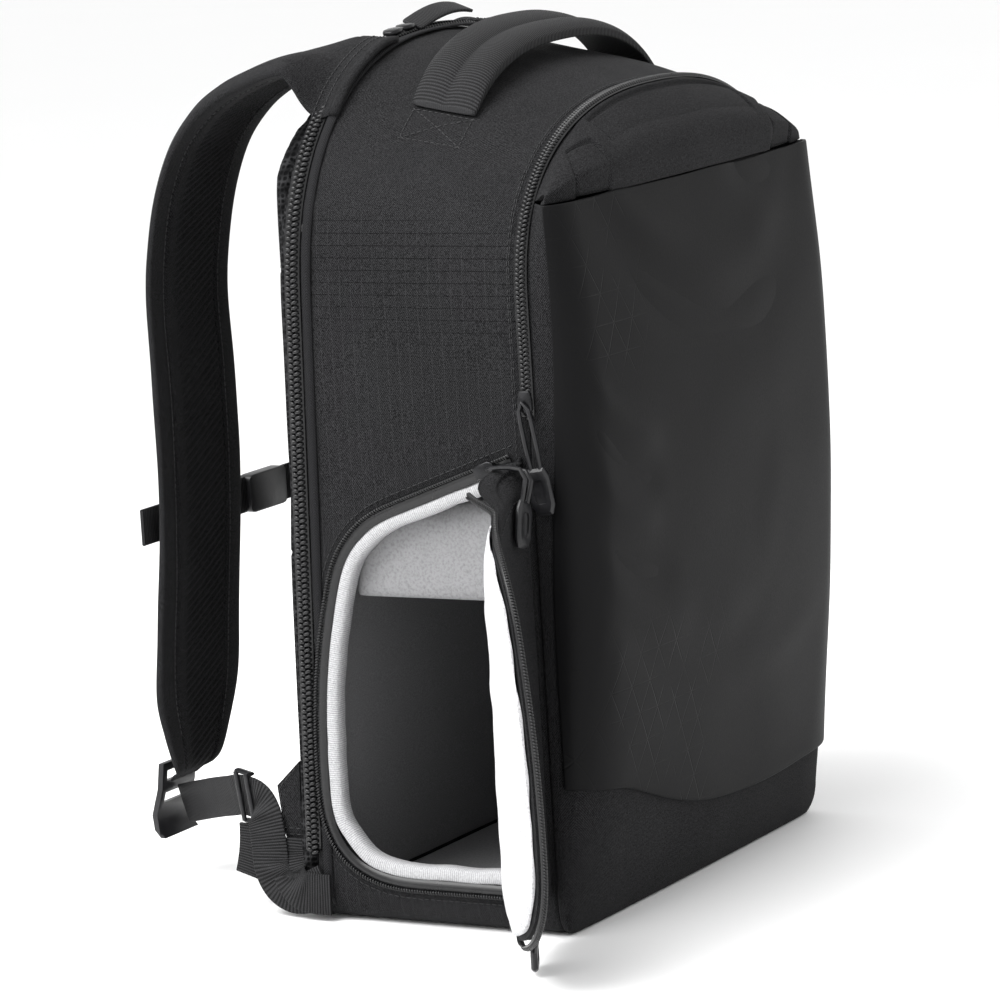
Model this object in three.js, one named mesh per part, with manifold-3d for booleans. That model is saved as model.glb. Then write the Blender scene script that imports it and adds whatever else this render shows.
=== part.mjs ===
// Camera backpack, standing on its base with the side door open.
// Millimetres, +Z up, front of the pack towards -Y, side door towards -X.
// The origin is the middle of the base, on the surface that the pack stands on.
import * as THREE from 'three';
import { mergeVertices } from 'three/addons/utils/BufferGeometryUtils.js';
import Module from 'manifold-3d';

const wasm = await Module();
wasm.setup();

// Driving dimensions of the body.
const BODY_WIDTH = 267;
const BODY_HEIGHT = 414;
const BODY_DEPTH = 133;
const FRONT_Y = -61;
const BACK_LEAN = 14;
const CROWN_FALL = 27;
const CROWN_EASE = 0.8;
const CROWN_POWER = 2.4;
const SHOULDER_HEIGHT = 300;
const FOOT_RADIUS = 12;
const WALL = 7;
const FRONT_WALL = 6;
const GAP = 0.3;

// Zips that close the front pocket and the back panel.
const GROOVE_DEPTH = 2.6;
const GROOVE_WIDTH = 7.6;
const ZIP_TOP_WIDTH = 6.2;
const ZIP_FLOOR_WIDTH = 0.9;
const ZIP_PROUD = 0.7;
const ZIP_SINK = 1.6;
const FRONT_ZIP_FOOT = 246;
const BACK_ZIP_FOOT = 34;

// Front pocket, its lid and the smooth panel over it.
const POCKET_DEPTH = 32;
const POCKET_WALL = 2.5;
const GUSSET_DEPTH = 14;
const EDGE_ROUND = 42;
const LID_HEIGHT = 43;
const LID_RIDGE_RISE = 14;
const LID_LIP_DEPTH = 23;
const LID_RIDGE_DEPTH = 27;
const LID_SWELL = 2.2;
const PANEL_THICKNESS = 1.3;
const PANEL_LIFT = 0.8;
const PANEL_SIDE_MARGIN = 1.5;

// Back panel, pads and harness.
const BACK_PANEL_THICKNESS = 10;
const BACK_PANEL_ROUND = 5;
const PAD_THICKNESS = 13;
const PAD_CHANNEL = 34;
const PAD_MARGIN = 17;
const PAD_ROUND = 12;
const STRAP_WIDTH = 70;
const STRAP_SPREAD = 75;
const STRAP_THICKNESS = 10;
const STRAP_REACH = 100;
const STRAP_END_WIDTH = 40;
const STRAP_SEAT = 1.2;
const WEBBING_WIDTH = 20;
const WEBBING_THICKNESS = 1.6;
const LOOP_HEIGHT = 52;
const LOOP_REACH = 100;
const TAIL_LENGTH = 26;
const TAIL_SWING = 4;
const LOCK_WIDTH = 30;
const LOCK_HEIGHT = 38;
const LOCK_THICKNESS = 3;
const COLLAR_LENGTH = 10;
const COLLAR_WALL = 2;
const WING_WIDTH = 11;
const WING_HEIGHT = 70;
const WING_THICKNESS = 2;
const WING_INSET = 7;
const STERNUM_HEIGHT = 183;
const STERNUM_WIDTH = 18;
const STERNUM_TAIL = 1;
const BUCKLE_WIDTH = 34;
const BUCKLE_HEIGHT = 26;
const BUCKLE_THICKNESS = 9;

// Side door and what shows inside it.
const OPENING_LENGTH = 122;
const OPENING_HEIGHT = 215;
const OPENING_SILL = 17;
const OPENING_FRONT = 5;
const ZIP_BAND = 6.5;
const ZIP_BAND_THICKNESS = 1.8;
const BINDING_WIDTH = 7;
const DOOR_THICKNESS = 3;
const DOOR_PAD = 7;
const DOOR_ZIP_WIDTH = 3.6;
const DOOR_ZIP_THICKNESS = 4;
const DOOR_NEAR_ANGLE = 92;
const DOOR_FAR_ANGLE = 119;
const DOOR_SHUT_ANGLE = 30;
const DOOR_SHUT_START = 0.9;
const DOOR_SHUT_END = 0.975;
const DOOR_LINING_LIFT = 0.8;
const DIVIDER_THICKNESS = 6;
const DIVIDER_DROP = 42;
const DIVIDER_HEIGHT = 198;

// Carry handle.
const HANDLE_LENGTH = 184;
const HANDLE_WIDTH = 34;
const HANDLE_THICKNESS = 8;
const HANDLE_RISE = 7.5;
const HANDLE_Y = -2;

// Pullers and their cords.
const PULLER_LENGTH = 22;
const PULLER_WIDTH = 12;
const PULLER_THICKNESS = 3.2;
const CORD_RADIUS = 1.1;
const SLIDER_LENGTH = 11;
const SLIDER_WIDTH = 8;
const SLIDER_THICKNESS = 3.4;
const BACK_SLIDER_X = 21;
const RIBBON_LENGTH = 50;
const RIBBON_WIDTH = 11;
const RIBBON_THICKNESS = 1.6;
const RIBBON_RISE = 6;

// Depth of the pocket's face by height: shares of the body height and of the pocket depth.
const POCKET_BULGE = [
  { height: 0.0, depth: 0.13 },
  { height: 0.03, depth: 0.3 },
  { height: 0.1, depth: 0.56 },
  { height: 0.18, depth: 0.72 },
  { height: 0.3, depth: 0.9 },
  { height: 0.5, depth: 1.0 },
  { height: 0.68, depth: 0.93 },
  { height: 0.78, depth: 0.77 },
  { height: 0.84, depth: 0.66 },
];

// Depth of the side gusset and rounding of the pocket's edge, by height.
const GUSSET_SHAPE = [
  { height: 0.0, depth: 0.3, round: 1.0 },
  { height: 0.18, depth: 0.5, round: 0.8 },
  { height: 0.38, depth: 0.5, round: 0.55 },
  { height: 0.62, depth: 1.0, round: 0.5 },
  { height: 0.84, depth: 1.0, round: 0.45 },
];

// Seam under the smooth panel: shares of the half width and of the body height.
const LOWER_SEAM = [
  { across: -1.0, height: 0.174 },
  { across: -0.82, height: 0.157 },
  { across: -0.44, height: 0.116 },
  { across: -0.17, height: 0.1 },
  { across: 0.39, height: 0.086 },
  { across: 1.0, height: 0.093 },
];

// Outer face of a shoulder strap: shares of the strap's reach behind the body, of the strap's top height,
// of its widths, how far the section follows the crown, and shares of its thickness.
const STRAP_PATH = [
  { reach: -0.08, height: 0.983, width: 0.65, follow: 1.0, deep: 0.3 },
  { reach: 0.02, height: 0.985, width: 0.75, follow: 1.0, deep: 0.33 },
  { reach: 0.1, height: 0.992, width: 0.9, follow: 0.75, deep: 0.6 },
  { reach: 0.2, height: 0.995, width: 1.0, follow: 0.25, deep: 0.9 },
  { reach: 0.32, height: 0.99, width: 1.0, follow: 0.05, deep: 1.0 },
  { reach: 0.45, height: 0.979, width: 1.0, follow: 0.0, deep: 1.0 },
  { reach: 0.59, height: 0.964, width: 1.0, follow: 0.0, deep: 1.0 },
  { reach: 0.74, height: 0.939, width: 1.0, follow: 0.0, deep: 1.0 },
  { reach: 0.885, height: 0.898, width: 1.0, follow: 0.0, deep: 1.0 },
  { reach: 0.99, height: 0.843, width: 1.0, follow: 0.0, deep: 1.0 },
  { reach: 1.055, height: 0.782, width: 1.0, follow: 0.0, deep: 1.0 },
  { reach: 1.09, height: 0.714, width: 1.0, follow: 0.0, deep: 1.0 },
  { reach: 1.09, height: 0.613, width: 1.0, follow: 0.0, deep: 1.0 },
  { reach: 1.095, height: 0.504, width: 1.0, follow: 0.0, deep: 1.0 },
  { reach: 1.12, height: 0.407, width: 1.0, follow: 0.0, deep: 1.0 },
  { reach: 1.165, height: 0.31, width: 1.0, follow: 0.0, deep: 1.0 },
  { reach: 1.195, height: 0.235, width: 0.95, follow: 0.0, deep: 1.0 },
  { reach: 1.2, height: 0.184, width: 0.5, follow: 0.0, deep: 0.9 },
  { reach: 1.2, height: 0.145, width: 0.0, follow: 0.0, deep: 0.7 },
  { reach: 1.215, height: 0.133, width: -0.5, follow: 0.0, deep: 0.3 },
  { reach: 1.245, height: 0.128, width: -0.5, follow: 0.0, deep: 0.3 },
];

// Loop of webbing from the corner of the pack to the strap's buckle: shares of the loop's reach,
// of its height and of the way from the side of the pack to the middle of the strap.
const LOOP_PATH = [
  { reach: 0.06, height: 0.346, inward: 0.0 },
  { reach: 0.16, height: 0.26, inward: 0.0 },
  { reach: 0.26, height: 0.231, inward: 0.02 },
  { reach: 0.34, height: 0.298, inward: 0.04 },
  { reach: 0.385, height: 0.442, inward: 0.055 },
  { reach: 0.395, height: 0.635, inward: 0.065 },
  { reach: 0.41, height: 0.808, inward: 0.08 },
  { reach: 0.44, height: 0.955, inward: 0.125 },
  { reach: 0.505, height: 1.042, inward: 0.195 },
  { reach: 0.625, height: 1.046, inward: 0.3 },
  { reach: 0.72, height: 1.0, inward: 0.395 },
  { reach: 0.87, height: 0.923, inward: 0.56 },
  { reach: 1.05, height: 0.817, inward: 0.78 },
  { reach: 1.23, height: 0.712, inward: 0.97 },
];
const ADJUSTER_SEGMENT = 8;

// Side view of the strap's buckle: shares of its height down from the top and of its thickness.
const LOCK_PROFILE = [
  { down: 0.0, out: 0.0 },
  { down: 0.35, out: 0.6 },
  { down: 0.7, out: 2.0 },
  { down: 0.9, out: 1.7 },
  { down: 1.0, out: 0.6 },
];

// Cross section of the carry handle: shares of its half width and of its thickness.
const HANDLE_SECTION = [
  { across: -1.0, up: 0.12 },
  { across: -0.6, up: 0.0 },
  { across: 0.6, up: 0.0 },
  { across: 1.0, up: 0.12 },
  { across: 1.0, up: 0.6 },
  { across: 0.82, up: 0.94 },
  { across: 0.45, up: 1.0 },
  { across: 0.14, up: 0.88 },
  { across: 0.0, up: 0.66 },
  { across: -0.14, up: 0.88 },
  { across: -0.45, up: 1.0 },
  { across: -0.82, up: 0.94 },
  { across: -1.0, up: 0.6 },
];

// Corners of the side opening: shares of its length from the hinge side and of its height.
const OPENING_CORNERS = [
  { along: 0.0, up: 0.0, radius: 0.02 },
  { along: 1.0, up: 0.0, radius: 0.42 },
  { along: 1.0, up: 0.46, radius: 0.4 },
  { along: 0.84, up: 0.82, radius: 0.25 },
  { along: 0.0, up: 1.0, radius: 0.02 },
];

// Materials.
const TWILL = { color: 0x2b2b2d, roughness: 0.85, metalness: 0 };
const COATED = { color: 0x232325, roughness: 0.6, metalness: 0 };
const MESH_FABRIC = { color: 0x161617, roughness: 0.9, metalness: 0 };
const WEBBING = { color: 0x1d1d1f, roughness: 0.7, metalness: 0 };
const COIL = { color: 0x121213, roughness: 0.45, metalness: 0 };
const LINING = { color: 0xc4c4c6, roughness: 0.9, metalness: 0 };
const PLASTIC = { color: 0x101011, roughness: 0.4, metalness: 0 };
const METAL = { color: 0x1a1a1c, roughness: 0.3, metalness: 0.8 };

const lerp = THREE.MathUtils.lerp;
const clamp = THREE.MathUtils.clamp;
const rad = THREE.MathUtils.degToRad;
const vec = (x, y, z) => new THREE.Vector3(x, y, z);
const steps = (count) => Array.from({ length: count + 1 }, (_, i) => i / count);

// Smooth value of one column of a table at a place along another.
function tableAt(table, key, place, column) {
  const last = table.length - 1;
  let i = 0;
  while (i < last - 1 && place > table[i + 1][key]) i += 1;
  const [a, b] = [table[i], table[i + 1]];
  const before = table[Math.max(i - 1, 0)];
  const after = table[Math.min(i + 2, last)];
  const span = b[key] - a[key];
  const t = clamp((place - a[key]) / span, 0, 1);
  const slopeA = ((b[column] - before[column]) / (b[key] - before[key])) * span;
  const slopeB = ((after[column] - a[column]) / (after[key] - a[key])) * span;
  const [t2, t3] = [t * t, t * t * t];
  return (2 * t3 - 3 * t2 + 1) * a[column] + (t3 - 2 * t2 + t) * slopeA
    + (3 * t2 - 2 * t3) * b[column] + (t3 - t2) * slopeB;
}

// Geometry from triangles given as triples of points, turned so that its faces point out.
function closedGeometry(triangles) {
  let volume = 0;
  for (const [a, b, c] of triangles) volume += a.dot(b.clone().cross(c));
  const positions = [];
  for (const [a, b, c] of triangles) {
    const [second, third] = volume > 0 ? [b, c] : [c, b];
    positions.push(a.x, a.y, a.z, second.x, second.y, second.z, third.x, third.y, third.z);
  }
  const geometry = new THREE.BufferGeometry();
  geometry.setAttribute('position', new THREE.Float32BufferAttribute(positions, 3));
  const merged = mergeVertices(geometry, 1e-4);
  merged.computeVertexNormals();
  return merged;
}

// Body through rings of equally many points, closed at both ends by a fan.
function loft(rings) {
  const triangles = [];
  const count = rings[0].length;
  for (let r = 0; r < rings.length - 1; r += 1) {
    for (let i = 0; i < count; i += 1) {
      const j = (i + 1) % count;
      triangles.push([rings[r][i], rings[r][j], rings[r + 1][j]]);
      triangles.push([rings[r][i], rings[r + 1][j], rings[r + 1][i]]);
    }
  }
  for (const [ring, flip] of [[rings[0], true], [rings[rings.length - 1], false]]) {
    const middle = ring.reduce((sum, p) => sum.add(p), vec(0, 0, 0)).divideScalar(count);
    for (let i = 0; i < count; i += 1) {
      const [a, b] = flip ? [ring[(i + 1) % count], ring[i]] : [ring[i], ring[(i + 1) % count]];
      triangles.push([middle, a, b]);
    }
  }
  return closedGeometry(triangles);
}

// Sheet between two grids of points of the same size, closed along its four edges.
function sheet(face, back) {
  const triangles = [];
  const [rows, cols] = [face.length - 1, face[0].length - 1];
  const quad = (a, b, c, d) => triangles.push([a, b, c], [a, c, d]);
  for (let i = 0; i < rows; i += 1) {
    for (let j = 0; j < cols; j += 1) {
      quad(face[i][j], face[i][j + 1], face[i + 1][j + 1], face[i + 1][j]);
      quad(back[i][j], back[i + 1][j], back[i + 1][j + 1], back[i][j + 1]);
    }
    quad(face[i][0], face[i + 1][0], back[i + 1][0], back[i][0]);
    quad(face[i + 1][cols], face[i][cols], back[i][cols], back[i + 1][cols]);
  }
  for (let j = 0; j < cols; j += 1) {
    quad(face[0][j + 1], face[0][j], back[0][j], back[0][j + 1]);
    quad(face[rows][j], face[rows][j + 1], back[rows][j + 1], back[rows][j]);
  }
  return closedGeometry(triangles);
}

// Grid moved along its own normals; a positive distance goes towards side.
function offsetGrid(grid, distance, side) {
  return grid.map((row, i) => row.map((point, j) => {
    const up = grid[Math.min(i + 1, grid.length - 1)][j].clone().sub(grid[Math.max(i - 1, 0)][j]);
    const along = row[Math.min(j + 1, row.length - 1)].clone().sub(row[Math.max(j - 1, 0)]);
    const normal = up.cross(along).normalize().multiplyScalar(side);
    return point.clone().addScaledVector(normal, distance);
  }));
}

// Joined or cut bodies.
function toSolid(geometry) {
  const bare = geometry.clone();
  bare.deleteAttribute('normal');
  bare.deleteAttribute('uv');
  const merged = mergeVertices(bare, 1e-4);
  const vertProperties = new Float32Array(merged.attributes.position.array);
  const triVerts = new Uint32Array(merged.index.array);
  return new wasm.Manifold(new wasm.Mesh({ numProp: 3, vertProperties, triVerts }));
}

function fromSolid(solid) {
  const result = solid.getMesh();
  const geometry = new THREE.BufferGeometry();
  geometry.setAttribute('position', new THREE.BufferAttribute(new Float32Array(result.vertProperties), 3));
  geometry.setIndex(new THREE.BufferAttribute(new Uint32Array(result.triVerts), 1));
  geometry.computeVertexNormals();
  return geometry;
}

function cut(whole, ...tools) {
  return fromSolid(tools.reduce((left, tool) => left.subtract(toSolid(tool)), toSolid(whole)));
}

function join(first, ...others) {
  return fromSolid(others.reduce((sum, other) => sum.add(toSolid(other)), toSolid(first)));
}

// Form of the body.
const half = BODY_WIDTH / 2;
const backY = (z) => FRONT_Y + BODY_DEPTH - (BACK_LEAN * z) / BODY_HEIGHT;
const crownZ = (share) => BODY_HEIGHT - CROWN_FALL * (1 - share ** CROWN_EASE);
const mouthHeight = crownZ(0) - LID_HEIGHT;
const signedPower = (value, power) => Math.sign(value) * Math.abs(value) ** power;

// Places round the body's outline, from the front: base, right side, crown and left side.
const CROWN_STEPS = 20;
const CORNER_STEPS = 3;
const corner = (side, t) => ({ kind: 'corner', side, t });
const crown = (t) => ({ kind: 'crown', t });
const sideAt = (side, t) => ({ kind: 'side', side, t });
const sideShare = (z) => (z - FOOT_RADIUS) / (SHOULDER_HEIGHT - FOOT_RADIUS);
const ZIP_STARTS = [BACK_ZIP_FOOT, FRONT_ZIP_FOOT].flatMap((foot) => (
  [sideShare(foot - GROOVE_WIDTH), sideShare(foot)]
));
const SIDE_SHARES = [...ZIP_STARTS, 0.3, 0.5, 0.65, 0.9].toSorted((a, b) => a - b);
const OUTLINE = [
  { kind: 'base', t: 0 },
  ...steps(CORNER_STEPS).map((t) => corner(1, t)),
  ...SIDE_SHARES.map((t) => sideAt(1, t)),
  ...steps(CROWN_STEPS).map(crown),
  ...SIDE_SHARES.toReversed().map((t) => sideAt(-1, t)),
  ...steps(CORNER_STEPS).toReversed().map((t) => corner(-1, t)),
];

function outlinePoint(place, share, inset) {
  const reach = half - inset;
  const radius = Math.max(FOOT_RADIUS - inset, FOOT_RADIUS / 4);
  if (place.kind === 'base') return { x: 0, z: inset };
  if (place.kind === 'corner') {
    const turn = (place.t * Math.PI) / 2;
    return {
      x: place.side * (reach - radius + radius * Math.sin(turn)),
      z: inset + radius - radius * Math.cos(turn),
    };
  }
  if (place.kind === 'side') {
    return { x: place.side * reach, z: lerp(inset + radius, SHOULDER_HEIGHT, place.t) };
  }
  const turn = place.t * Math.PI;
  const rise = crownZ(share) - inset - SHOULDER_HEIGHT;
  return {
    x: reach * signedPower(Math.cos(turn), 2 / CROWN_POWER),
    z: SHOULDER_HEIGHT + rise * Math.sin(turn) ** (2 / CROWN_POWER),
  };
}

// Point of the body's skin at a share of its depth, moved by an offset along Y.
function skinPoint(place, share, offset, inset) {
  const height = outlinePoint(place, share, 0).z;
  const depth = typeof inset === 'function' ? inset(height) : inset;
  const { x, z } = outlinePoint(place, share, depth);
  return vec(x, lerp(FRONT_Y, backY(height), share) + offset, z);
}

const skinRing = (share, offset, inset) => OUTLINE.map((place) => skinPoint(place, share, offset, inset));
const grooveAbove = (foot) => (z) => GROOVE_DEPTH * clamp((z - foot + GROOVE_WIDTH) / GROOVE_WIDTH, 0, 1);
const frontGroove = grooveAbove(FRONT_ZIP_FOOT);
const backGroove = grooveAbove(BACK_ZIP_FOOT);

// Height of the crown and half width of the body at a place.
function crownAt(x, share) {
  const rise = (1 - Math.min(Math.abs(x) / half, 1) ** CROWN_POWER) ** (1 / CROWN_POWER);
  return SHOULDER_HEIGHT + (crownZ(share) - SHOULDER_HEIGHT) * rise;
}

const shareAt = (y) => clamp((y - FRONT_Y) / (backY(BODY_HEIGHT) - FRONT_Y), 0, 1);

function halfWidthAt(z) {
  if (z < FOOT_RADIUS) {
    return half - FOOT_RADIUS + Math.sqrt(FOOT_RADIUS ** 2 - (FOOT_RADIUS - z) ** 2);
  }
  if (z < SHOULDER_HEIGHT) return half;
  const t = (z - SHOULDER_HEIGHT) / (crownZ(0) - SHOULDER_HEIGHT);
  return half * (1 - Math.min(t, 1) ** CROWN_POWER) ** (1 / CROWN_POWER);
}

// Corners of the side opening in Y and Z with the reach of their rounding, drawn in by a margin.
function openingCorners(margin) {
  const hinge = FRONT_Y + OPENING_FRONT;
  const points = OPENING_CORNERS.map(({ along, up }) => (
    new THREE.Vector2(hinge + along * OPENING_LENGTH, OPENING_SILL + up * OPENING_HEIGHT)
  ));
  return points.map((p, i) => {
    const before = p.clone().sub(points[(i + points.length - 1) % points.length]).normalize();
    const after = points[(i + 1) % points.length].clone().sub(p).normalize();
    const turn = 1 + before.dot(after);
    const inward = new THREE.Vector2(-before.y - after.y, before.x + after.x).divideScalar(turn);
    const shrink = (before.cross(after) / turn) * margin;
    const reach = Math.max(OPENING_CORNERS[i].radius * OPENING_LENGTH - shrink, 1);
    return { p: p.clone().addScaledVector(inward, margin), reach, round: OPENING_CORNERS[i].radius > 0.1 };
  });
}

// Outline of the side opening in Y and Z, drawn in by a margin.
function openingOutline(margin) {
  const corners = openingCorners(margin);
  return corners.flatMap(({ p, reach, round }, i) => {
    const before = corners[(i + corners.length - 1) % corners.length].p;
    const after = corners[(i + 1) % corners.length].p;
    const [toBefore, toAfter] = [p.distanceTo(before), p.distanceTo(after)];
    const start = p.clone().lerp(before, Math.min(reach / toBefore, 0.48));
    const end = p.clone().lerp(after, Math.min(reach / toAfter, 0.48));
    return new THREE.QuadraticBezierCurve(start, p, end).getPoints(round ? 6 : 2);
  });
}

// Body with a Y-Z outline, between two places along X.
function slabAlongX(outline, low, high) {
  return loft([low, high].map((x) => outline.map((p) => vec(x, p.x, p.y))));
}

// Band between two Y-Z outlines, between two places along X.
function bandAlongX(outer, inner, low, high) {
  return cut(slabAlongX(outer, low, high), slabAlongX(inner, low - 1, high + 1));
}

// Main compartment: padded band of sides, crown and base with a front wall, open to the back.
function mainShell() {
  const shares = [0.25, 0.5, 0.75];
  const rings = [
    skinRing(0, 0, frontGroove),
    skinRing(0, GROOVE_WIDTH / 2, 0),
    ...shares.map((share) => skinRing(share, 0, 0)),
    skinRing(1, -GROOVE_WIDTH / 2, 0),
    skinRing(1, 0, backGroove),
    skinRing(1, 0, WALL),
    ...shares.toReversed().map((share) => skinRing(share, 0, WALL)),
    skinRing(0, FRONT_WALL, WALL),
  ];
  const doorway = slabAlongX(openingOutline(ZIP_BAND), -half - WALL, -half + WALL * 2);
  return cut(loft(rings), doorway);
}

// Strip of coil zip that lies in the groove between two panels.
function grooveZip(share, foot, centre) {
  const low = sideShare(foot + GROOVE_WIDTH / 4);
  const sides = SIDE_SHARES.filter((t) => t > low);
  const places = [
    sideAt(1, low),
    ...sides.map((t) => sideAt(1, t)),
    ...steps(CROWN_STEPS).map(crown),
    ...sides.toReversed().map((t) => sideAt(-1, t)),
    sideAt(-1, low),
  ];
  return loft(places.map((place) => [
    skinPoint(place, share, centre - ZIP_TOP_WIDTH / 2, -ZIP_PROUD),
    skinPoint(place, share, centre + ZIP_TOP_WIDTH / 2, -ZIP_PROUD),
    skinPoint(place, share, centre + ZIP_FLOOR_WIDTH / 2, ZIP_SINK),
    skinPoint(place, share, centre - ZIP_FLOOR_WIDTH / 2, ZIP_SINK),
  ]));
}

// Depth of the pocket's face in front of the body.
const bulge = (z) => POCKET_DEPTH * tableAt(POCKET_BULGE, 'height', z / BODY_HEIGHT, 'depth');

// Face and gusset of the pocket on one side, from the body's edge to the middle.
function pocketProfile(side, z) {
  const depth = bulge(z);
  const edge = halfWidthAt(z);
  const reach = half - PANEL_SIDE_MARGIN - Math.max(half - halfWidthAt(Math.min(z, FOOT_RADIUS)), 0);
  const shape = (column) => tableAt(GUSSET_SHAPE, 'height', z / BODY_HEIGHT, column);
  const gusset = Math.min(GUSSET_DEPTH * shape('depth'), depth * 0.6);
  const round = EDGE_ROUND * shape('round');
  const rim = FRONT_Y - GAP;
  const points = [
    vec(side * (edge - frontGroove(z)), rim, z),
    vec(side * edge, rim - Math.min(GROOVE_WIDTH / 2, depth * 0.3), z),
  ];
  for (const t of steps(5)) {
    const turn = (t * Math.PI) / 2;
    const flat = depth * 0.9 - gusset;
    points.push(vec(
      side * (reach - round * (1 - Math.cos(turn))),
      FRONT_Y - gusset - flat * Math.sin(turn),
      z,
    ));
  }
  for (const t of [0.35, 0.7]) {
    points.push(vec(side * (reach - round) * (1 - t), FRONT_Y - depth * (1 - 0.1 * (1 - t) ** 2), z));
  }
  return points;
}

// Row of the pocket's outer face from its left edge to its right edge.
function pocketRow(z) {
  const left = pocketProfile(-1, z);
  const right = pocketProfile(1, z);
  return [...left, vec(0, FRONT_Y - bulge(z), z), ...right.toReversed()];
}

const RIM_POINTS = 2;

// Grid kept in front of the body and between two heights.
function keepWithin(grid, low, high) {
  return grid.map((row) => row.map((p) => vec(p.x, Math.min(p.y, FRONT_Y - GAP), clamp(p.z, low, high))));
}

// Front pocket: gussets, lower panel and the wall behind the smooth panel, open towards the body.
function frontPocket() {
  const low = [0.002, 0.012, 0.03, 0.06, 0.1, 0.15, 0.22, 0.32, 0.44].map((share) => share * BODY_HEIGHT);
  const top = mouthHeight - GAP;
  const rises = steps(CROWN_STEPS).map((t) => outlinePoint(crown(t / 2), 0, 0).z);
  const arch = rises.filter((z) => z < top - GAP);
  const zip = [FRONT_ZIP_FOOT - GROOVE_WIDTH, FRONT_ZIP_FOOT];
  const rows = [...low, ...zip, ...arch, top].toSorted((a, b) => a - b).map(pocketRow);
  const inner = keepWithin(offsetGrid(rows, -POCKET_WALL, -1), GAP, top);
  return sheet(rows, inner);
}

// Smooth panel laid over the pocket between its lower seam and its mouth.
function frontPanel() {
  const rows = steps(10).map((share) => {
    const flat = pocketRow(mouthHeight).slice(RIM_POINTS, -RIM_POINTS);
    return flat.map((point, j) => {
      const across = clamp(point.x / (half - PANEL_SIDE_MARGIN), -1, 1);
      const seam = tableAt(LOWER_SEAM, 'across', across, 'height') * BODY_HEIGHT;
      const z = lerp(seam, mouthHeight - GAP, share);
      return pocketRow(z)[j + RIM_POINTS];
    });
  });
  return sheet(offsetGrid(rows, PANEL_LIFT + PANEL_THICKNESS, -1), offsetGrid(rows, PANEL_LIFT, -1));
}

// Lid of the front pocket, from the zip arch over the ridge to the lip above the smooth panel.
function frontLid() {
  const foot = mouthHeight + GAP;
  const footShare = (foot - SHOULDER_HEIGHT) / (crownZ(0) - SHOULDER_HEIGHT);
  const start = Math.asin(footShare ** (CROWN_POWER / 2)) / Math.PI;
  const inside = steps(CROWN_STEPS).filter((t) => t > start + 0.012 && t < 1 - start - 0.012);
  const columns = [start, ...inside, 1 - start].toReversed().map((t) => {
    const place = crown(t);
    const across = Math.cos(lerp(0, Math.PI, (t - start) / (1 - 2 * start)));
    const side = Math.abs(across);
    const reach = half - PANEL_SIDE_MARGIN;
    const lipDepth = lerp(LID_LIP_DEPTH, GUSSET_DEPTH, side ** 5);
    const ridgeDepth = lerp(LID_RIDGE_DEPTH, GUSSET_DEPTH, side ** 4);
    const ridgeZ = foot + LID_RIDGE_RISE * (1 - 0.75 * side ** 6);
    const ridge = vec(across * (reach - POCKET_WALL * 0.4), FRONT_Y - ridgeDepth, ridgeZ);
    const lip = vec(across * reach, FRONT_Y - lipDepth, foot);
    const rim = skinPoint(place, 0, -GAP, frontGroove);
    const arch = skinPoint(place, 0, -GROOVE_WIDTH / 2, 0);
    const slope = [0.25, 0.5, 0.75].map((t) => {
      const p = arch.clone().lerp(ridge, t);
      const swell = LID_SWELL * Math.sin(t * Math.PI);
      return vec(p.x, p.y - swell * 0.6, p.z + swell);
    });
    return [rim, arch, ...slope, ridge, lip];
  });
  const outer = keepWithin(columns, foot, BODY_HEIGHT);
  const inner = keepWithin(offsetGrid(columns, -POCKET_WALL, -1), foot, BODY_HEIGHT);
  return sheet(outer, inner);
}

// Padded back panel that closes the main compartment.
function backPanel() {
  const rings = [
    skinRing(1, GAP, backGroove),
    skinRing(1, GROOVE_WIDTH / 2 + GAP, 0),
    skinRing(1, BACK_PANEL_THICKNESS * 0.75, 1),
    skinRing(1, BACK_PANEL_THICKNESS, BACK_PANEL_ROUND),
  ];
  return loft(rings);
}

const panelBackY = (z) => backY(z) + BACK_PANEL_THICKNESS;

// Pads of the back panel: shares of the body height and of the pads' thickness.
const PADS = [
  { place: 'upper', low: 0.66, high: 0.97, thickness: 1.0 },
  { place: 'lower', low: 0.09, high: 0.64, thickness: 0.85 },
];

// Crowned pad on the back panel between two heights, on one side of the spine channel.
function backPad(side, low, high, thickness) {
  const [inner, outer] = [PAD_CHANNEL / 2, half - PAD_MARGIN];
  const centre = { x: (inner + outer) / 2, z: (low + high) / 2 };
  const size = { x: (outer - inner) / 2, z: (high - low) / 2 };
  const layers = [
    { lift: GAP, shrink: PAD_ROUND / 6 },
    { lift: thickness * 0.5, shrink: 0 },
    { lift: thickness * 0.85, shrink: PAD_ROUND / 3 },
    { lift: thickness, shrink: PAD_ROUND },
  ];
  return loft(layers.map(({ lift, shrink }) => steps(27).map((t) => {
    const turn = t * Math.PI * 2 * (27 / 28);
    const x = centre.x + (size.x - shrink) * signedPower(Math.cos(turn), 0.45);
    const z = centre.z + (size.z - shrink) * signedPower(Math.sin(turn), 0.45);
    const fit = Math.min(z, crownAt(x, 1) - PAD_MARGIN);
    return vec(side * x, panelBackY(fit) + lift, fit);
  })));
}

// Section of a shoulder strap: shares of its half width and of its thickness, from the outer face.
const STRAP_SECTION = [
  { across: -1.0, deep: 0.7 },
  { across: -0.88, deep: 0.38 },
  { across: -0.45, deep: 0.06 },
  { across: 0.0, deep: 0.0 },
  { across: 0.45, deep: 0.06 },
  { across: 0.88, deep: 0.38 },
  { across: 1.0, deep: 0.7 },
  { across: 1.0, deep: 0.9 },
  { across: 0.88, deep: 1.0 },
  { across: 0.45, deep: 1.0 },
  { across: 0.0, deep: 1.0 },
  { across: -0.45, deep: 1.0 },
  { across: -0.88, deep: 1.0 },
  { across: -1.0, deep: 0.9 },
];

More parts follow.
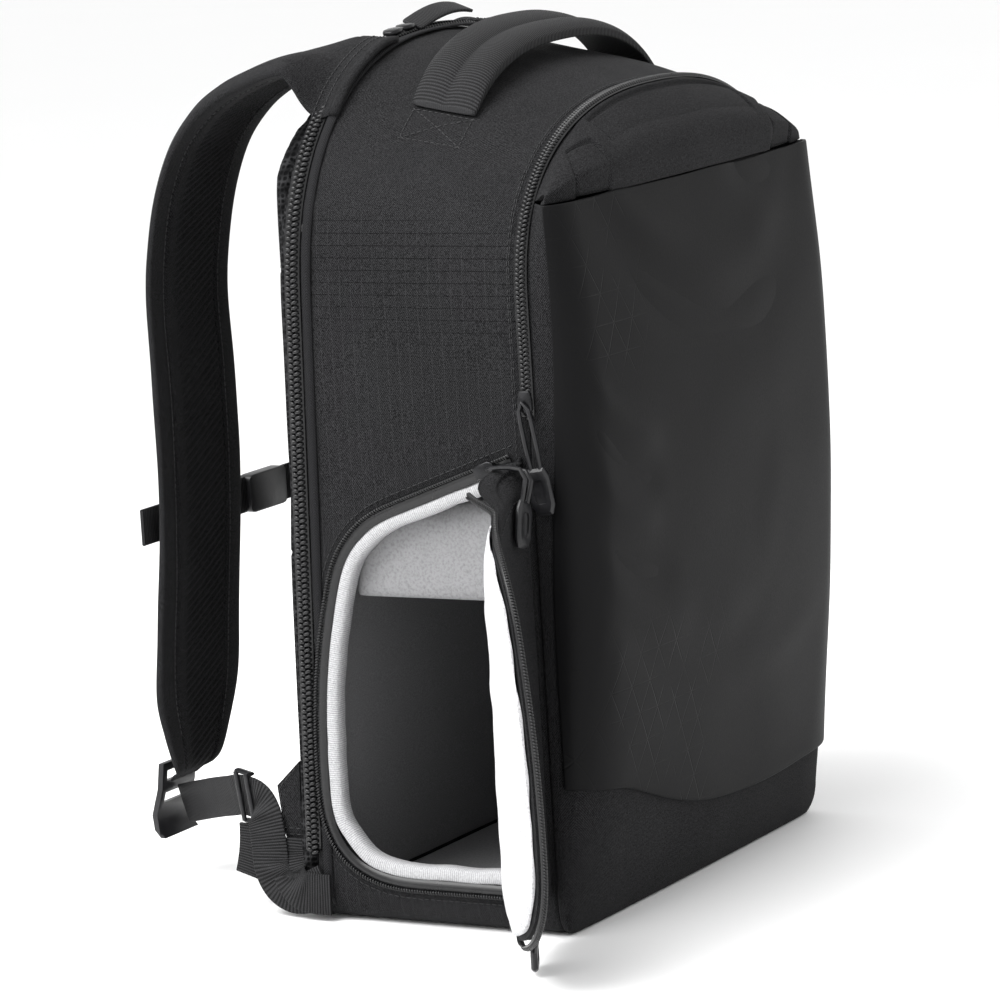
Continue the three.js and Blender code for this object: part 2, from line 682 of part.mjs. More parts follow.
// Padded shoulder strap from its yoke over the back zip down to its buckle.
const strapTop = crownAt(STRAP_SPREAD, 1) + ZIP_PROUD + STRAP_SEAT + STRAP_THICKNESS;
function strapPoint({ reach, height }) {
  return vec(0, backY(BODY_HEIGHT) + reach * STRAP_REACH, height * strapTop);
}

function shoulderStrap(side) {
  const rows = STRAP_PATH.map(strapPoint);
  const last = rows.length - 1;
  return loft(rows.map((point, i) => {
    const tangent = rows[Math.min(i + 1, last)].clone().sub(rows[Math.max(i - 1, 0)]).normalize();
    const inward = vec(0, tangent.z, -tangent.y);
    const { width, follow, deep: share } = STRAP_PATH[i];
    const reach = lerp(STRAP_END_WIDTH, STRAP_WIDTH, width) / 2;
    return STRAP_SECTION.map(({ across, deep }) => {
      const x = STRAP_SPREAD - across * reach;
      const hug = follow ** (x > STRAP_SPREAD ? 3 : 1);
      const lift = (crownAt(x, 1) - crownAt(STRAP_SPREAD, 1)) * hug;
      const depth = deep * share * STRAP_THICKNESS;
      return point.clone().addScaledVector(inward, depth).add(vec(side * x, 0, lift));
    });
  }));
}

// Box with its middle at a point.
function block(sizeX, sizeY, sizeZ, middle) {
  const box = new THREE.BoxGeometry(sizeX, sizeY, sizeZ);
  return box.translate(middle.x, middle.y, middle.z);
}

// Block with a slot through it for webbing, turned to a frame of three directions.
function collar(middle, along, across, width, length) {
  const slot = { width: width + GAP * 4, depth: WEBBING_THICKNESS + GAP * 9 };
  const outer = { width: slot.width + COLLAR_WALL * 2, depth: slot.depth + COLLAR_WALL * 2 };
  const origin = vec(0, 0, 0);
  const whole = block(length, outer.width, outer.depth, origin);
  const passage = block(length + COLLAR_WALL, slot.width, slot.depth, origin);
  const window = block(length * 0.4, slot.width * 0.9, outer.depth + COLLAR_WALL, origin);
  const turned = length > COLLAR_LENGTH / 2 ? cut(whole, passage, window) : cut(whole, passage);
  const basis = new THREE.Matrix4().makeBasis(along, across, along.clone().cross(across));
  return turned.applyMatrix4(basis.setPosition(middle));
}

// Fabric wing at the lower corner of the back panel, which the webbing is sewn to.
const wingX = half - WING_INSET;
function strapWing(side) {
  const root = (share) => new THREE.Vector2(panelBackY(share * WING_HEIGHT) + GAP, share * WING_HEIGHT);
  const outline = [root(0.1), root(1.08)];
  for (const [out, up] of [[1.0, 0.9], [0.8, 0.6], [0.3, 0.3]]) {
    outline.push(new THREE.Vector2(panelBackY(0) + out * WING_WIDTH, up * WING_HEIGHT));
  }
  const places = [side * (wingX - WING_THICKNESS / 2), side * (wingX + WING_THICKNESS / 2)];
  return slabAlongX(outline, ...places);
}

// Middle line of the lower webbing and the directions along and across it.
function loopPoints(side) {
  const start = half + GAP * 2 + WEBBING_THICKNESS / 2;
  return LOOP_PATH.map(({ reach, height, inward }) => vec(
    side * lerp(start, STRAP_SPREAD, inward),
    backY(BODY_HEIGHT) + reach * LOOP_REACH,
    height * LOOP_HEIGHT,
  ));
}

function webbingFrame(before, after) {
  const along = after.clone().sub(before).normalize();
  const across = vec(0, -along.z, along.y).normalize();
  return { along, across, out: along.clone().cross(across).normalize() };
}

function lowerWebbing(side) {
  const points = loopPoints(side);
  return loft(points.map((point, i) => {
    const [before, after] = [points[Math.max(i - 1, 0)], points[Math.min(i + 1, points.length - 1)]];
    const { across, out } = webbingFrame(before, after);
    return [[-1, -1], [1, -1], [1, 1], [-1, 1]].map(([a, b]) => (
      point.clone()
        .addScaledVector(across, (a * WEBBING_WIDTH) / 2)
        .addScaledVector(out, (b * WEBBING_THICKNESS) / 2)
    ));
  }));
}

function webbingAdjuster(side) {
  const points = loopPoints(side);
  const [before, after] = [points[ADJUSTER_SEGMENT], points[ADJUSTER_SEGMENT + 1]];
  const { along, across } = webbingFrame(before, after);
  return collar(before.clone().lerp(after, 0.5), along, across, WEBBING_WIDTH, COLLAR_LENGTH);
}

// Free end of the webbing, which hangs under its adjuster.
function webbingTail(side) {
  const points = loopPoints(side);
  const middle = points[ADJUSTER_SEGMENT].clone().lerp(points[ADJUSTER_SEGMENT + 1], 0.5);
  const top = middle.z - WEBBING_WIDTH / 2 - COLLAR_WALL - GAP * 4;
  const thickness = WEBBING_THICKNESS * 1.6;
  return loft([0, 0.5, 1].map((t) => {
    const z = Math.max(top - t * TAIL_LENGTH, GAP);
    const y = middle.y + (t * t - 0.5) * TAIL_SWING;
    return [[-1, -1], [1, -1], [1, 1], [-1, 1]].map(([a, b]) => (
      vec(middle.x + (a * thickness) / 2, y + (b * WEBBING_WIDTH) / 2.4, z)
    ));
  }));
}

// Ladder buckle at the end of a shoulder strap: a curved plate with two slots, at shares of its height.
const LOCK_SLOTS = [0.18, 0.48];
function strapBuckle(side) {
  const end = strapPoint(STRAP_PATH[STRAP_PATH.length - 1]);
  const top = end.z + LOCK_SLOTS[0] * LOCK_HEIGHT;
  const y = end.y + GAP * 2;
  const front = LOCK_PROFILE.map(({ down, out }) => [y + out * LOCK_THICKNESS, top - down * LOCK_HEIGHT]);
  const back = front.map(([py, pz]) => [py + LOCK_THICKNESS, pz]).toReversed();
  const outline = new THREE.Shape([...front, ...back].map(([py, pz]) => new THREE.Vector2(py, pz)));
  const plate = new THREE.ExtrudeGeometry(outline, { depth: LOCK_WIDTH, bevelEnabled: false, steps: 1 });
  const basis = new THREE.Matrix4().makeBasis(vec(0, 1, 0), vec(0, 0, 1), vec(1, 0, 0));
  plate.applyMatrix4(basis.setPosition(side * STRAP_SPREAD - LOCK_WIDTH / 2, 0, 0));
  const slots = LOCK_SLOTS.map((down) => block(
    LOCK_WIDTH * 0.72,
    LOCK_THICKNESS * 8,
    LOCK_HEIGHT * 0.14,
    vec(side * STRAP_SPREAD, y, top - down * LOCK_HEIGHT),
  ));
  return cut(plate, ...slots);
}

// Y of the outer face of a shoulder strap at a height.
function strapOuterY(z) {
  const rising = STRAP_PATH.toReversed();
  return backY(BODY_HEIGHT) + tableAt(rising, 'height', z / strapTop, 'reach') * STRAP_REACH;
}

const sternumY = strapOuterY(STERNUM_HEIGHT) + GAP * 5 + WEBBING_THICKNESS / 2;

function sternumStrap(side) {
  const outer = STRAP_SPREAD + STRAP_WIDTH / 2 + STERNUM_TAIL;
  const inner = BUCKLE_WIDTH / 2 + GAP;
  const middle = vec((side * (outer + inner)) / 2, sternumY, STERNUM_HEIGHT);
  return block(outer - inner, WEBBING_THICKNESS, STERNUM_WIDTH, middle);
}

function sternumSlider(side) {
  const middle = vec(side * (STRAP_SPREAD - STRAP_WIDTH / 2 - COLLAR_LENGTH / 2), sternumY, STERNUM_HEIGHT);
  return collar(middle, vec(1, 0, 0), vec(0, 0, 1), STERNUM_WIDTH, COLLAR_LENGTH / 2);
}

// Fastened buckle of the sternum strap.
function sternumBuckle() {
  const shape = new THREE.Shape();
  const [w, h, r] = [BUCKLE_WIDTH / 2, BUCKLE_HEIGHT / 2, 4];
  shape.moveTo(-w + r, -h);
  shape.lineTo(w - r, -h).quadraticCurveTo(w, -h, w, -h + r);
  shape.lineTo(w, h - r).quadraticCurveTo(w, h, w - r, h);
  shape.lineTo(-w + r, h).quadraticCurveTo(-w, h, -w, h - r);
  shape.lineTo(-w, -h + r).quadraticCurveTo(-w, -h, -w + r, -h);
  const body = new THREE.ExtrudeGeometry(shape, {
    depth: BUCKLE_THICKNESS, bevelEnabled: false, curveSegments: 3, steps: 1,
  });
  body.rotateX(Math.PI / 2);
  return body.translate(0, sternumY + BUCKLE_THICKNESS / 2, STERNUM_HEIGHT);
}

// Zip round the side opening, on the outside of the body.
const hingeY = FRONT_Y + OPENING_FRONT;
function openingZip() {
  const place = -half - GAP;
  const edge = openingOutline(ZIP_BAND - GAP);
  const band = bandAlongX(openingOutline(0), edge, place - ZIP_BAND_THICKNESS, place);
  const middle = vec(place, hingeY, OPENING_SILL);
  const hinge = block(WALL * 2, OPENING_FRONT * 2 + GAP, OPENING_HEIGHT * 2, middle);
  return cut(band, hinge);
}

// Pale binding round the edge of the doorway.
function openingBinding() {
  const outer = openingOutline(ZIP_BAND + GAP);
  return bandAlongX(outer, openingOutline(ZIP_BAND + BINDING_WIDTH), -half + GAP, -half + WALL - GAP);
}

// Point of the open door at a distance from its hinge, a height and a lift off its inner face.
function doorPoint(reach, z, lift) {
  const rise = (z - OPENING_SILL) / OPENING_HEIGHT;
  const shut = THREE.MathUtils.smoothstep(rise, DOOR_SHUT_START, DOOR_SHUT_END);
  const at = (w) => {
    const open = lerp(DOOR_NEAR_ANGLE, DOOR_FAR_ANGLE, w / OPENING_LENGTH);
    const turn = rad(lerp(open, DOOR_SHUT_ANGLE, shut));
    return vec(-half - GAP - w * Math.sin(turn), hingeY + w * Math.cos(turn), z);
  };
  const along = at(reach + 1).sub(at(reach - 1)).normalize();
  const out = vec(-along.y, along.x, 0);
  return at(reach).addScaledVector(out, lift);
}

// Farthest point of the opening from its hinge at a height.
function openingReach(z, margin) {
  const outline = openingOutline(margin);
  const reaches = outline.flatMap((a, i) => {
    const b = outline[(i + 1) % outline.length];
    if ((a.y - z) * (b.y - z) > 0 || a.y === b.y) return [];
    return [lerp(a.x, b.x, (z - a.y) / (b.y - a.y)) - hingeY];
  });
  return Math.max(...reaches);
}

// Sheet in the form of the door, drawn in by a margin, between two lifts.
const DOOR_ROWS = [0, 0.015, 0.04, 0.09, 0.16, 0.26, 0.4, 0.54, 0.66, 0.76, 0.83, 0.88, 0.915, 0.94, 0.96];
function doorSheet(rowShares, start, margin, near, far) {
  const low = OPENING_SILL + margin + 0.01;
  const grid = (lift) => rowShares.map((share, i) => {
    const z = lerp(low, OPENING_SILL + OPENING_HEIGHT - margin, share);
    const reach = Math.max(openingReach(z, margin), start + DOOR_ZIP_WIDTH / 2);
    return steps(8).map((t, j) => {
      const edge = Math.sin((Math.PI * i) / (rowShares.length - 1)) * Math.sin((Math.PI * j) / 8);
      return doorPoint(lerp(start, reach, t), z, lift(Math.sqrt(Math.max(edge, 0))));
    });
  });
  return sheet(grid(near), grid(far));
}

const doorFlap = () => doorSheet(DOOR_ROWS, 0, DOOR_ZIP_WIDTH + GAP, () => 0, () => DOOR_THICKNESS);
function doorLining() {
  const near = () => -DOOR_LINING_LIFT;
  const far = (crowning) => near() - lerp(1.5, DOOR_PAD, crowning);
  return doorSheet(DOOR_ROWS.filter((share) => share < DOOR_SHUT_START), ZIP_BAND, ZIP_BAND, near, far);
}

// Coil along the free edge of the door, from its foot round to its top.
function doorZip() {
  const [outer, inner] = [openingOutline(0), openingOutline(DOOR_ZIP_WIDTH)];
  const low = (DOOR_THICKNESS - DOOR_ZIP_THICKNESS) / 2;
  const high = low + DOOR_ZIP_THICKNESS;
  const top = OPENING_SILL + OPENING_HEIGHT * DOOR_SHUT_START;
  const pairs = outer.flatMap((p, i) => {
    const next = (i + 1) % outer.length;
    const count = Math.ceil(p.distanceTo(outer[next]) / (BINDING_WIDTH * 2));
    return steps(count).slice(0, -1).map((t) => (
      [p.clone().lerp(outer[next], t), inner[i].clone().lerp(inner[next], t)]
    ));
  });
  const free = pairs.filter(([p]) => p.x > hingeY + DOOR_ZIP_WIDTH * 2 && p.y < top);
  return loft(free.map(([p, q]) => [
    doorPoint(p.x - hingeY, p.y, low),
    doorPoint(p.x - hingeY, p.y, high),
    doorPoint(q.x - hingeY, q.y, high),
    doorPoint(q.x - hingeY, q.y, low),
  ]));
}

// Padded divider over the lower bay, with a flap that hangs down behind the doorway.
function divider() {
  const [left, right] = [-half + WALL + GAP * 6, half - WALL - GAP];
  const top = DIVIDER_HEIGHT + DIVIDER_THICKNESS;
  const shape = new THREE.Shape();
  shape.moveTo(left, DIVIDER_HEIGHT - DIVIDER_DROP);
  shape.lineTo(left + DIVIDER_THICKNESS, DIVIDER_HEIGHT - DIVIDER_DROP);
  shape.lineTo(left + DIVIDER_THICKNESS, DIVIDER_HEIGHT);
  shape.lineTo(right, DIVIDER_HEIGHT);
  shape.lineTo(right, top);
  shape.lineTo(left + DIVIDER_THICKNESS / 2, top);
  shape.quadraticCurveTo(left, top, left, top - DIVIDER_THICKNESS / 2);
  const [front, back] = [FRONT_Y + FRONT_WALL + GAP, backY(top) - GAP];
  const body = new THREE.ExtrudeGeometry(shape, {
    depth: back - front, bevelEnabled: false, curveSegments: 4, steps: 1,
  });
  body.rotateX(Math.PI / 2);
  const corner = vec(left, backY(top) + BODY_DEPTH / 2 - WALL * 3, 0);
  const clearOfBinding = block(WALL * 2, BODY_DEPTH, BODY_HEIGHT, corner);
  return cut(body.translate(0, back, 0), clearOfBinding);
}

// Carry handle: webbing folded into two lobes, sewn down at both ends.
function grabHandle() {
  return loft(steps(16).map((t) => {
    const share = t * 2 - 1;
    const x = (share * HANDLE_LENGTH) / 2;
    const rise = GAP * 2 + HANDLE_RISE * (1 - share ** 4);
    const thickness = HANDLE_THICKNESS * (1 - 0.55 * share ** 12);
    return HANDLE_SECTION.map(({ across, up }) => {
      const y = HANDLE_Y + (across * HANDLE_WIDTH) / 2;
      return vec(x, y, crownAt(x, shareAt(y)) + rise + up * thickness);
    });
  }));
}

// Slider of a zip: a small rounded body on the coil.
function zipSlider(middle, along, out) {
  const profile = [[-0.5, 0.6], [-0.3, 1], [0.1, 1], [0.5, 0.75]];
  const across = out.clone().cross(along).normalize();
  return loft(profile.map(([t, wide]) => steps(7).map((turnShare) => {
    const turn = turnShare * Math.PI * 2 * (7 / 8);
    return middle.clone()
      .addScaledVector(along, t * SLIDER_LENGTH)
      .addScaledVector(across, (signedPower(Math.cos(turn), 0.5) * wide * SLIDER_WIDTH) / 2)
      .addScaledVector(out, (signedPower(Math.sin(turn), 0.5) * wide * SLIDER_THICKNESS) / 2);
  })));
}

// Six-sided puller on a loop of cord that hangs from a slider.
const PULLER_OUTLINE = [
  [-0.5, 0.34], [-0.3, 0.5], [0.3, 0.5], [0.5, 0.34],
  [0.5, -0.34], [0.3, -0.5], [-0.3, -0.5], [-0.5, -0.34],
];
function zipPuller(from, sway, middle, direction, out) {
  const along = direction.clone().normalize();
  const across = out.clone().cross(along).normalize();
  const facing = along.clone().cross(across).normalize();
  const plateRing = (lift, scale) => PULLER_OUTLINE.map(([t, w]) => middle.clone()
    .addScaledVector(along, t * PULLER_LENGTH * scale)
    .addScaledVector(across, w * PULLER_WIDTH * scale)
    .addScaledVector(facing, lift * PULLER_THICKNESS));
  const layers = [[-0.5, 0.86], [-0.15, 1], [0.15, 1], [0.5, 0.86]];
  const plate = loft(layers.map(([lift, scale]) => plateRing(lift, scale)));
  const recess = loft([plateRing(0.2, 0.5), plateRing(0.8, 0.5)]);
  const tie = middle.clone().addScaledVector(along, -PULLER_LENGTH * 0.42);
  const spread = PULLER_WIDTH * 0.2;
  const path = [
    tie.clone().addScaledVector(across, spread),
    sway.clone().addScaledVector(across, spread * 1.2),
    from.clone().addScaledVector(across, spread * 0.6),
    from.clone().addScaledVector(across, -spread * 0.6),
    sway.clone().addScaledVector(across, -spread * 1.2),
    tie.clone().addScaledVector(across, -spread),
  ];
  const ring = new THREE.Shape(steps(5).map((t) => new THREE.Vector2(
    CORD_RADIUS * Math.cos(t * Math.PI * 2 * (5 / 6)),
    CORD_RADIUS * Math.sin(t * Math.PI * 2 * (5 / 6)),
  )));
  const route = new THREE.CatmullRomCurve3(path);
  const cord = new THREE.ExtrudeGeometry(ring, { extrudePath: route, steps: 14 });
  return join(cut(plate, recess), cord);
}

// Highest point of the opening's outline at a place along Y.
function openingTop(y, margin) {
  const outline = openingOutline(margin);
  const heights = outline.flatMap((a, i) => {
    const b = outline[(i + 1) % outline.length];
    if ((a.x - y) * (b.x - y) > 0 || a.x === b.x) return [];
    return [lerp(a.y, b.y, (y - a.x) / (b.x - a.x))];
  });
  return Math.max(...heights);
}

// Sliders and pullers on the left side: front pocket, top of the door and foot of the door.
const cordLift = SLIDER_THICKNESS / 2 + CORD_RADIUS + GAP;
function addSideZipParts() {
  const left = vec(-1, 0, 0);
  const frontLift = ZIP_PROUD + GAP + SLIDER_THICKNESS / 2;
  const front = vec(-half - frontLift, FRONT_Y - GAP / 2, FRONT_ZIP_FOOT + SLIDER_LENGTH * 0.7);
  const frontEye = front.clone().addScaledVector(left, cordLift);
  const frontPlateZ = FRONT_ZIP_FOOT - PULLER_LENGTH * 1.5;
  const frontPlate = vec(-half - cordLift * 1.6, FRONT_Y - GUSSET_DEPTH / 2, frontPlateZ);
  add('front_zip_slider', zipSlider(front, vec(0, 0, 1), left), METAL);
  const frontDirection = frontPlate.clone().sub(frontEye);
  const frontSway = frontEye.clone().lerp(frontPlate, 0.4);
  add('front_zip_puller', zipPuller(frontEye, frontSway, frontPlate, frontDirection, left), PLASTIC);

  const bandLift = GAP + ZIP_BAND_THICKNESS + GAP + SLIDER_THICKNESS / 2;
  const doorY = hingeY + SLIDER_LENGTH * 1.6;
  const door = vec(-half - bandLift, doorY, openingTop(doorY, ZIP_BAND / 2));
  const doorEye = door.clone().add(vec(-cordLift, -SLIDER_LENGTH * 0.35, CORD_RADIUS));
  const ahead = vec(0, -1, 0);
  const flapFace = hingeY - DOOR_THICKNESS - PULLER_THICKNESS * 1.8;
  const doorPlate = vec(-half - PULLER_WIDTH * 1.45, flapFace, door.z - PULLER_LENGTH);
  const doorSway = vec(doorPlate.x + PULLER_LENGTH * 0.2, flapFace - CORD_RADIUS, door.z + CORD_RADIUS);
  add('door_zip_slider', zipSlider(door, vec(0, 0.94, -0.34), left), METAL);
  add('door_zip_puller', zipPuller(doorEye, doorSway, doorPlate, vec(-0.3, -0.05, -0.9), ahead), PLASTIC);

  const footReach = OPENING_LENGTH * 0.47;
  const footLift = (DOOR_THICKNESS + DOOR_ZIP_THICKNESS) / 2 + GAP * 2 + SLIDER_THICKNESS / 2;
  const foot = doorPoint(footReach, OPENING_SILL + DOOR_ZIP_WIDTH / 2, footLift);
  const footAlong = doorPoint(footReach + 1, 0, 0).sub(doorPoint(footReach - 1, 0, 0)).normalize();
  const footOut = vec(-footAlong.y, footAlong.x, 0);
  const footEye = foot.clone()
    .addScaledVector(footOut, cordLift)
    .addScaledVector(footAlong, -SLIDER_LENGTH * 0.5);
  const footPlate = foot.clone()
    .addScaledVector(footOut, cordLift * 0.6)
    .addScaledVector(footAlong, PULLER_LENGTH * 0.1)
    .setZ(PULLER_WIDTH / 2 + GAP * 6);
  const footSway = footEye.clone().lerp(footPlate, 0.5).addScaledVector(footAlong, -PULLER_LENGTH * 0.5);
  add('door_foot_slider', zipSlider(foot, footAlong, footOut), METAL);
  add('door_foot_puller', zipPuller(footEye, footSway, footPlate, footAlong, footOut), PLASTIC);
}

// Two sliders that meet on the back zip over the crown, one with a ribbon to pull.
function addBackZipParts() {
  const up = vec(0, 0, 1);
  const at = (x, lift) => {
    const z = crownAt(x, 1) + lift;
    return vec(x, backY(z) + GAP / 2, z);
  };
  const lift = ZIP_PROUD + GAP * 2 + SLIDER_THICKNESS / 2;
  for (const [name, x] of [['left', -BACK_SLIDER_X - SLIDER_LENGTH * 1.1], ['right', -BACK_SLIDER_X]]) {
    const slope = at(x + 1, 0).sub(at(x - 1, 0)).normalize();
    add(`back_zip_slider_${name}`, zipSlider(at(x, lift), slope, up), METAL);
  }
  const start = -BACK_SLIDER_X + SLIDER_LENGTH * 0.5 + GAP * 2;
  const rows = steps(6).map((t) => {
    const rise = lift * 0.8 + RIBBON_RISE * Math.sin(t * 1.9);
    const edge = (w) => at(start + t * RIBBON_LENGTH, rise + w * 4).add(vec(0, w * RIBBON_WIDTH, 0));
    return [edge(-0.5), edge(0.5)];
  });
  add('back_zip_ribbon', sheet(offsetGrid(rows, RIBBON_THICKNESS, 1), rows), WEBBING);
}

const materials = new Map();
function material(finish) {
  if (!materials.has(finish)) materials.set(finish, new THREE.MeshStandardMaterial(finish));
  return materials.get(finish);
}

const group = new THREE.Group();
function add(name, geometry, finish) {
  const mesh = new THREE.Mesh(geometry, material(finish));
  mesh.name = name;
  group.add(mesh);
}

add('main_shell', mainShell(), TWILL);
add('back_panel', backPanel(), TWILL);
add('front_pocket', frontPocket(), TWILL);
add('front_panel', frontPanel(), COATED);
add('front_lid', frontLid(), TWILL);
add('front_zip', grooveZip(0, FRONT_ZIP_FOOT, -GAP / 2), COIL);
add('back_zip', grooveZip(1, BACK_ZIP_FOOT, GAP / 2), COIL);
add('opening_zip', openingZip(), COIL);
add('opening_binding', openingBinding(), LINING);
add('door_flap', doorFlap(), TWILL);
add('door_lining', doorLining(), LINING);
add('door_zip', doorZip(), COIL);
add('divider', divider(), LINING);
add('grab_handle', grabHandle(), WEBBING);
add('sternum_buckle', sternumBuckle(), PLASTIC);
for (const [name, side] of [['left', -1], ['right', 1]]) {
  for (const { place, low, high, thickness } of PADS) {
    const pad = backPad(side, BODY_HEIGHT * low, BODY_HEIGHT * high, PAD_THICKNESS * thickness);
    add(`back_pad_${place}_${name}`, pad, MESH_FABRIC);
  }
  add(`shoulder_strap_${name}`, shoulderStrap(side), TWILL);
  add(`strap_buckle_${name}`, strapBuckle(side), PLASTIC);
  add(`strap_wing_${name}`, strapWing(side), TWILL);
  add(`lower_webbing_${name}`, lowerWebbing(side), WEBBING);
  add(`webbing_adjuster_${name}`, webbingAdjuster(side), PLASTIC);
  add(`webbing_tail_${name}`, webbingTail(side), WEBBING);
  add(`sternum_strap_${name}`, sternumStrap(side), WEBBING);
  add(`sternum_slider_${name}`, sternumSlider(side), PLASTIC);
}

addSideZipParts();
addBackZipParts();

export default group;
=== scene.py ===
"""Looks of a camera backpack that stands with its side door open.

Metres, +Z up, front of the pack towards -Y, side door towards -X, origin in the middle of the base.
"""

import logging
import math
from dataclasses import dataclass
from enum import Enum
from typing import Callable, Iterable, Optional, Sequence, Union

import bmesh
import bpy
import numpy as np
from mathutils import Matrix, Vector, noise
from mathutils.bvhtree import BVHTree


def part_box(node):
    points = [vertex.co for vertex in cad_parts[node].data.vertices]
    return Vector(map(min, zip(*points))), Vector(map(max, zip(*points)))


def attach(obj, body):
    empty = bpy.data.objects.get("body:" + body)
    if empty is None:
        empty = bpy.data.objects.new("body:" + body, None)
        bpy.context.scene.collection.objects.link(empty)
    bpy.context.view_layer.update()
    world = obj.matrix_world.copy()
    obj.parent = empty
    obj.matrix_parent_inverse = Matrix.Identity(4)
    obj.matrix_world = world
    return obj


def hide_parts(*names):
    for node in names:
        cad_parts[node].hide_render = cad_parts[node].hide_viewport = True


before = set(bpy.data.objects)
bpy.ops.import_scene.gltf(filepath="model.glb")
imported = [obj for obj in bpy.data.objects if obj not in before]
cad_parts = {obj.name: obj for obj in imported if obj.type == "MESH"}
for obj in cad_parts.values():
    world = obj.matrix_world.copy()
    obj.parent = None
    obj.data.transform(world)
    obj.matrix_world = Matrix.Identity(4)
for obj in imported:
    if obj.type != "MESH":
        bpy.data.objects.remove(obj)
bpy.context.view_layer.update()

LOG = logging.getLogger("backpack")
Number = Union[int, float]
Rgb = tuple[float, float, float]
Field = Callable[[Vector], float]
Lift = Callable[[float, float], float]


def mix(low: float, high: float, share: float) -> float:
    """Value between two others."""
    return low + (high - low) * share


def smooth_step(low: float, high: float, value: float) -> float:
    """Smooth ramp from 0 to 1."""
    share = min(max((value - low) / (high - low), 0.0), 1.0)
    return share * share * (3.0 - 2.0 * share)


@dataclass(frozen=True)
class PackForm:
    """Sizes of the pack's body and the curves that run over it."""

    half: float = 0.1335
    height: float = 0.414
    depth: float = 0.133
    front_y: float = -0.061
    back_lean: float = 0.014
    crown_fall: float = 0.027
    crown_ease: float = 0.8
    crown_power: float = 2.4
    shoulder: float = 0.300

    def back_y(self, z: float) -> float:
        """Y of the body's back face."""
        return self.front_y + self.depth - self.back_lean * z / self.height

    def share_at(self, y: float) -> float:
        """Share of the body's depth at a place."""
        span = self.back_y(self.height) - self.front_y
        return min(max((y - self.front_y) / span, 0.0), 1.0)

    def crown_top(self, share: float) -> float:
        """Height of the crown's middle line."""
        return self.height - self.crown_fall * (1.0 - share**self.crown_ease)

    def crown_at(self, x: float, y: float) -> float:
        """Height of the crown over a point of the plan.

        Args:
            x: place along X.
            y: place along Y.

        Returns:
            Z in metres.
        """
        reach = min(abs(x) / self.half, 1.0) ** self.crown_power
        rise = (1.0 - reach) ** (1.0 / self.crown_power)
        return self.shoulder + (self.crown_top(self.share_at(y)) - self.shoulder) * rise

    def rim(self, share: float, foot: float, lift: float, shift: float = 0.0) -> list[Vector]:
        """Line up the left side, over the crown and down the right side.

        Args:
            share: share of the body's depth.
            foot: height of both ends.
            lift: distance out of the body's skin.
            shift: distance moved along Y.

        Returns:
            Points in the row frame.
        """
        reach = self.half + lift
        rise = self.crown_top(share) + lift - self.shoulder
        levels = np.linspace(foot, self.shoulder, 30)[:-1]
        turns = np.linspace(math.pi, 0.0, 181)
        power = 2.0 / self.crown_power
        flat = [(-reach, z) for z in levels]
        for turn in turns:
            cosine, sine = math.cos(turn), max(math.sin(turn), 0.0)
            x = math.copysign(abs(cosine) ** power, cosine) * reach
            flat.append((x, self.shoulder + rise * sine**power))
        flat += [(reach, z) for z in levels[::-1]]
        return [Vector((x, mix(self.front_y, self.back_y(z), share) + shift, z)) for x, z in flat]

    @staticmethod
    def away_from_middle(point: Vector) -> Vector:
        """Direction out of the body at a point of a rim line."""
        return Vector((point.x, 0.0, max(point.z - 0.28, 0.0))).normalized()


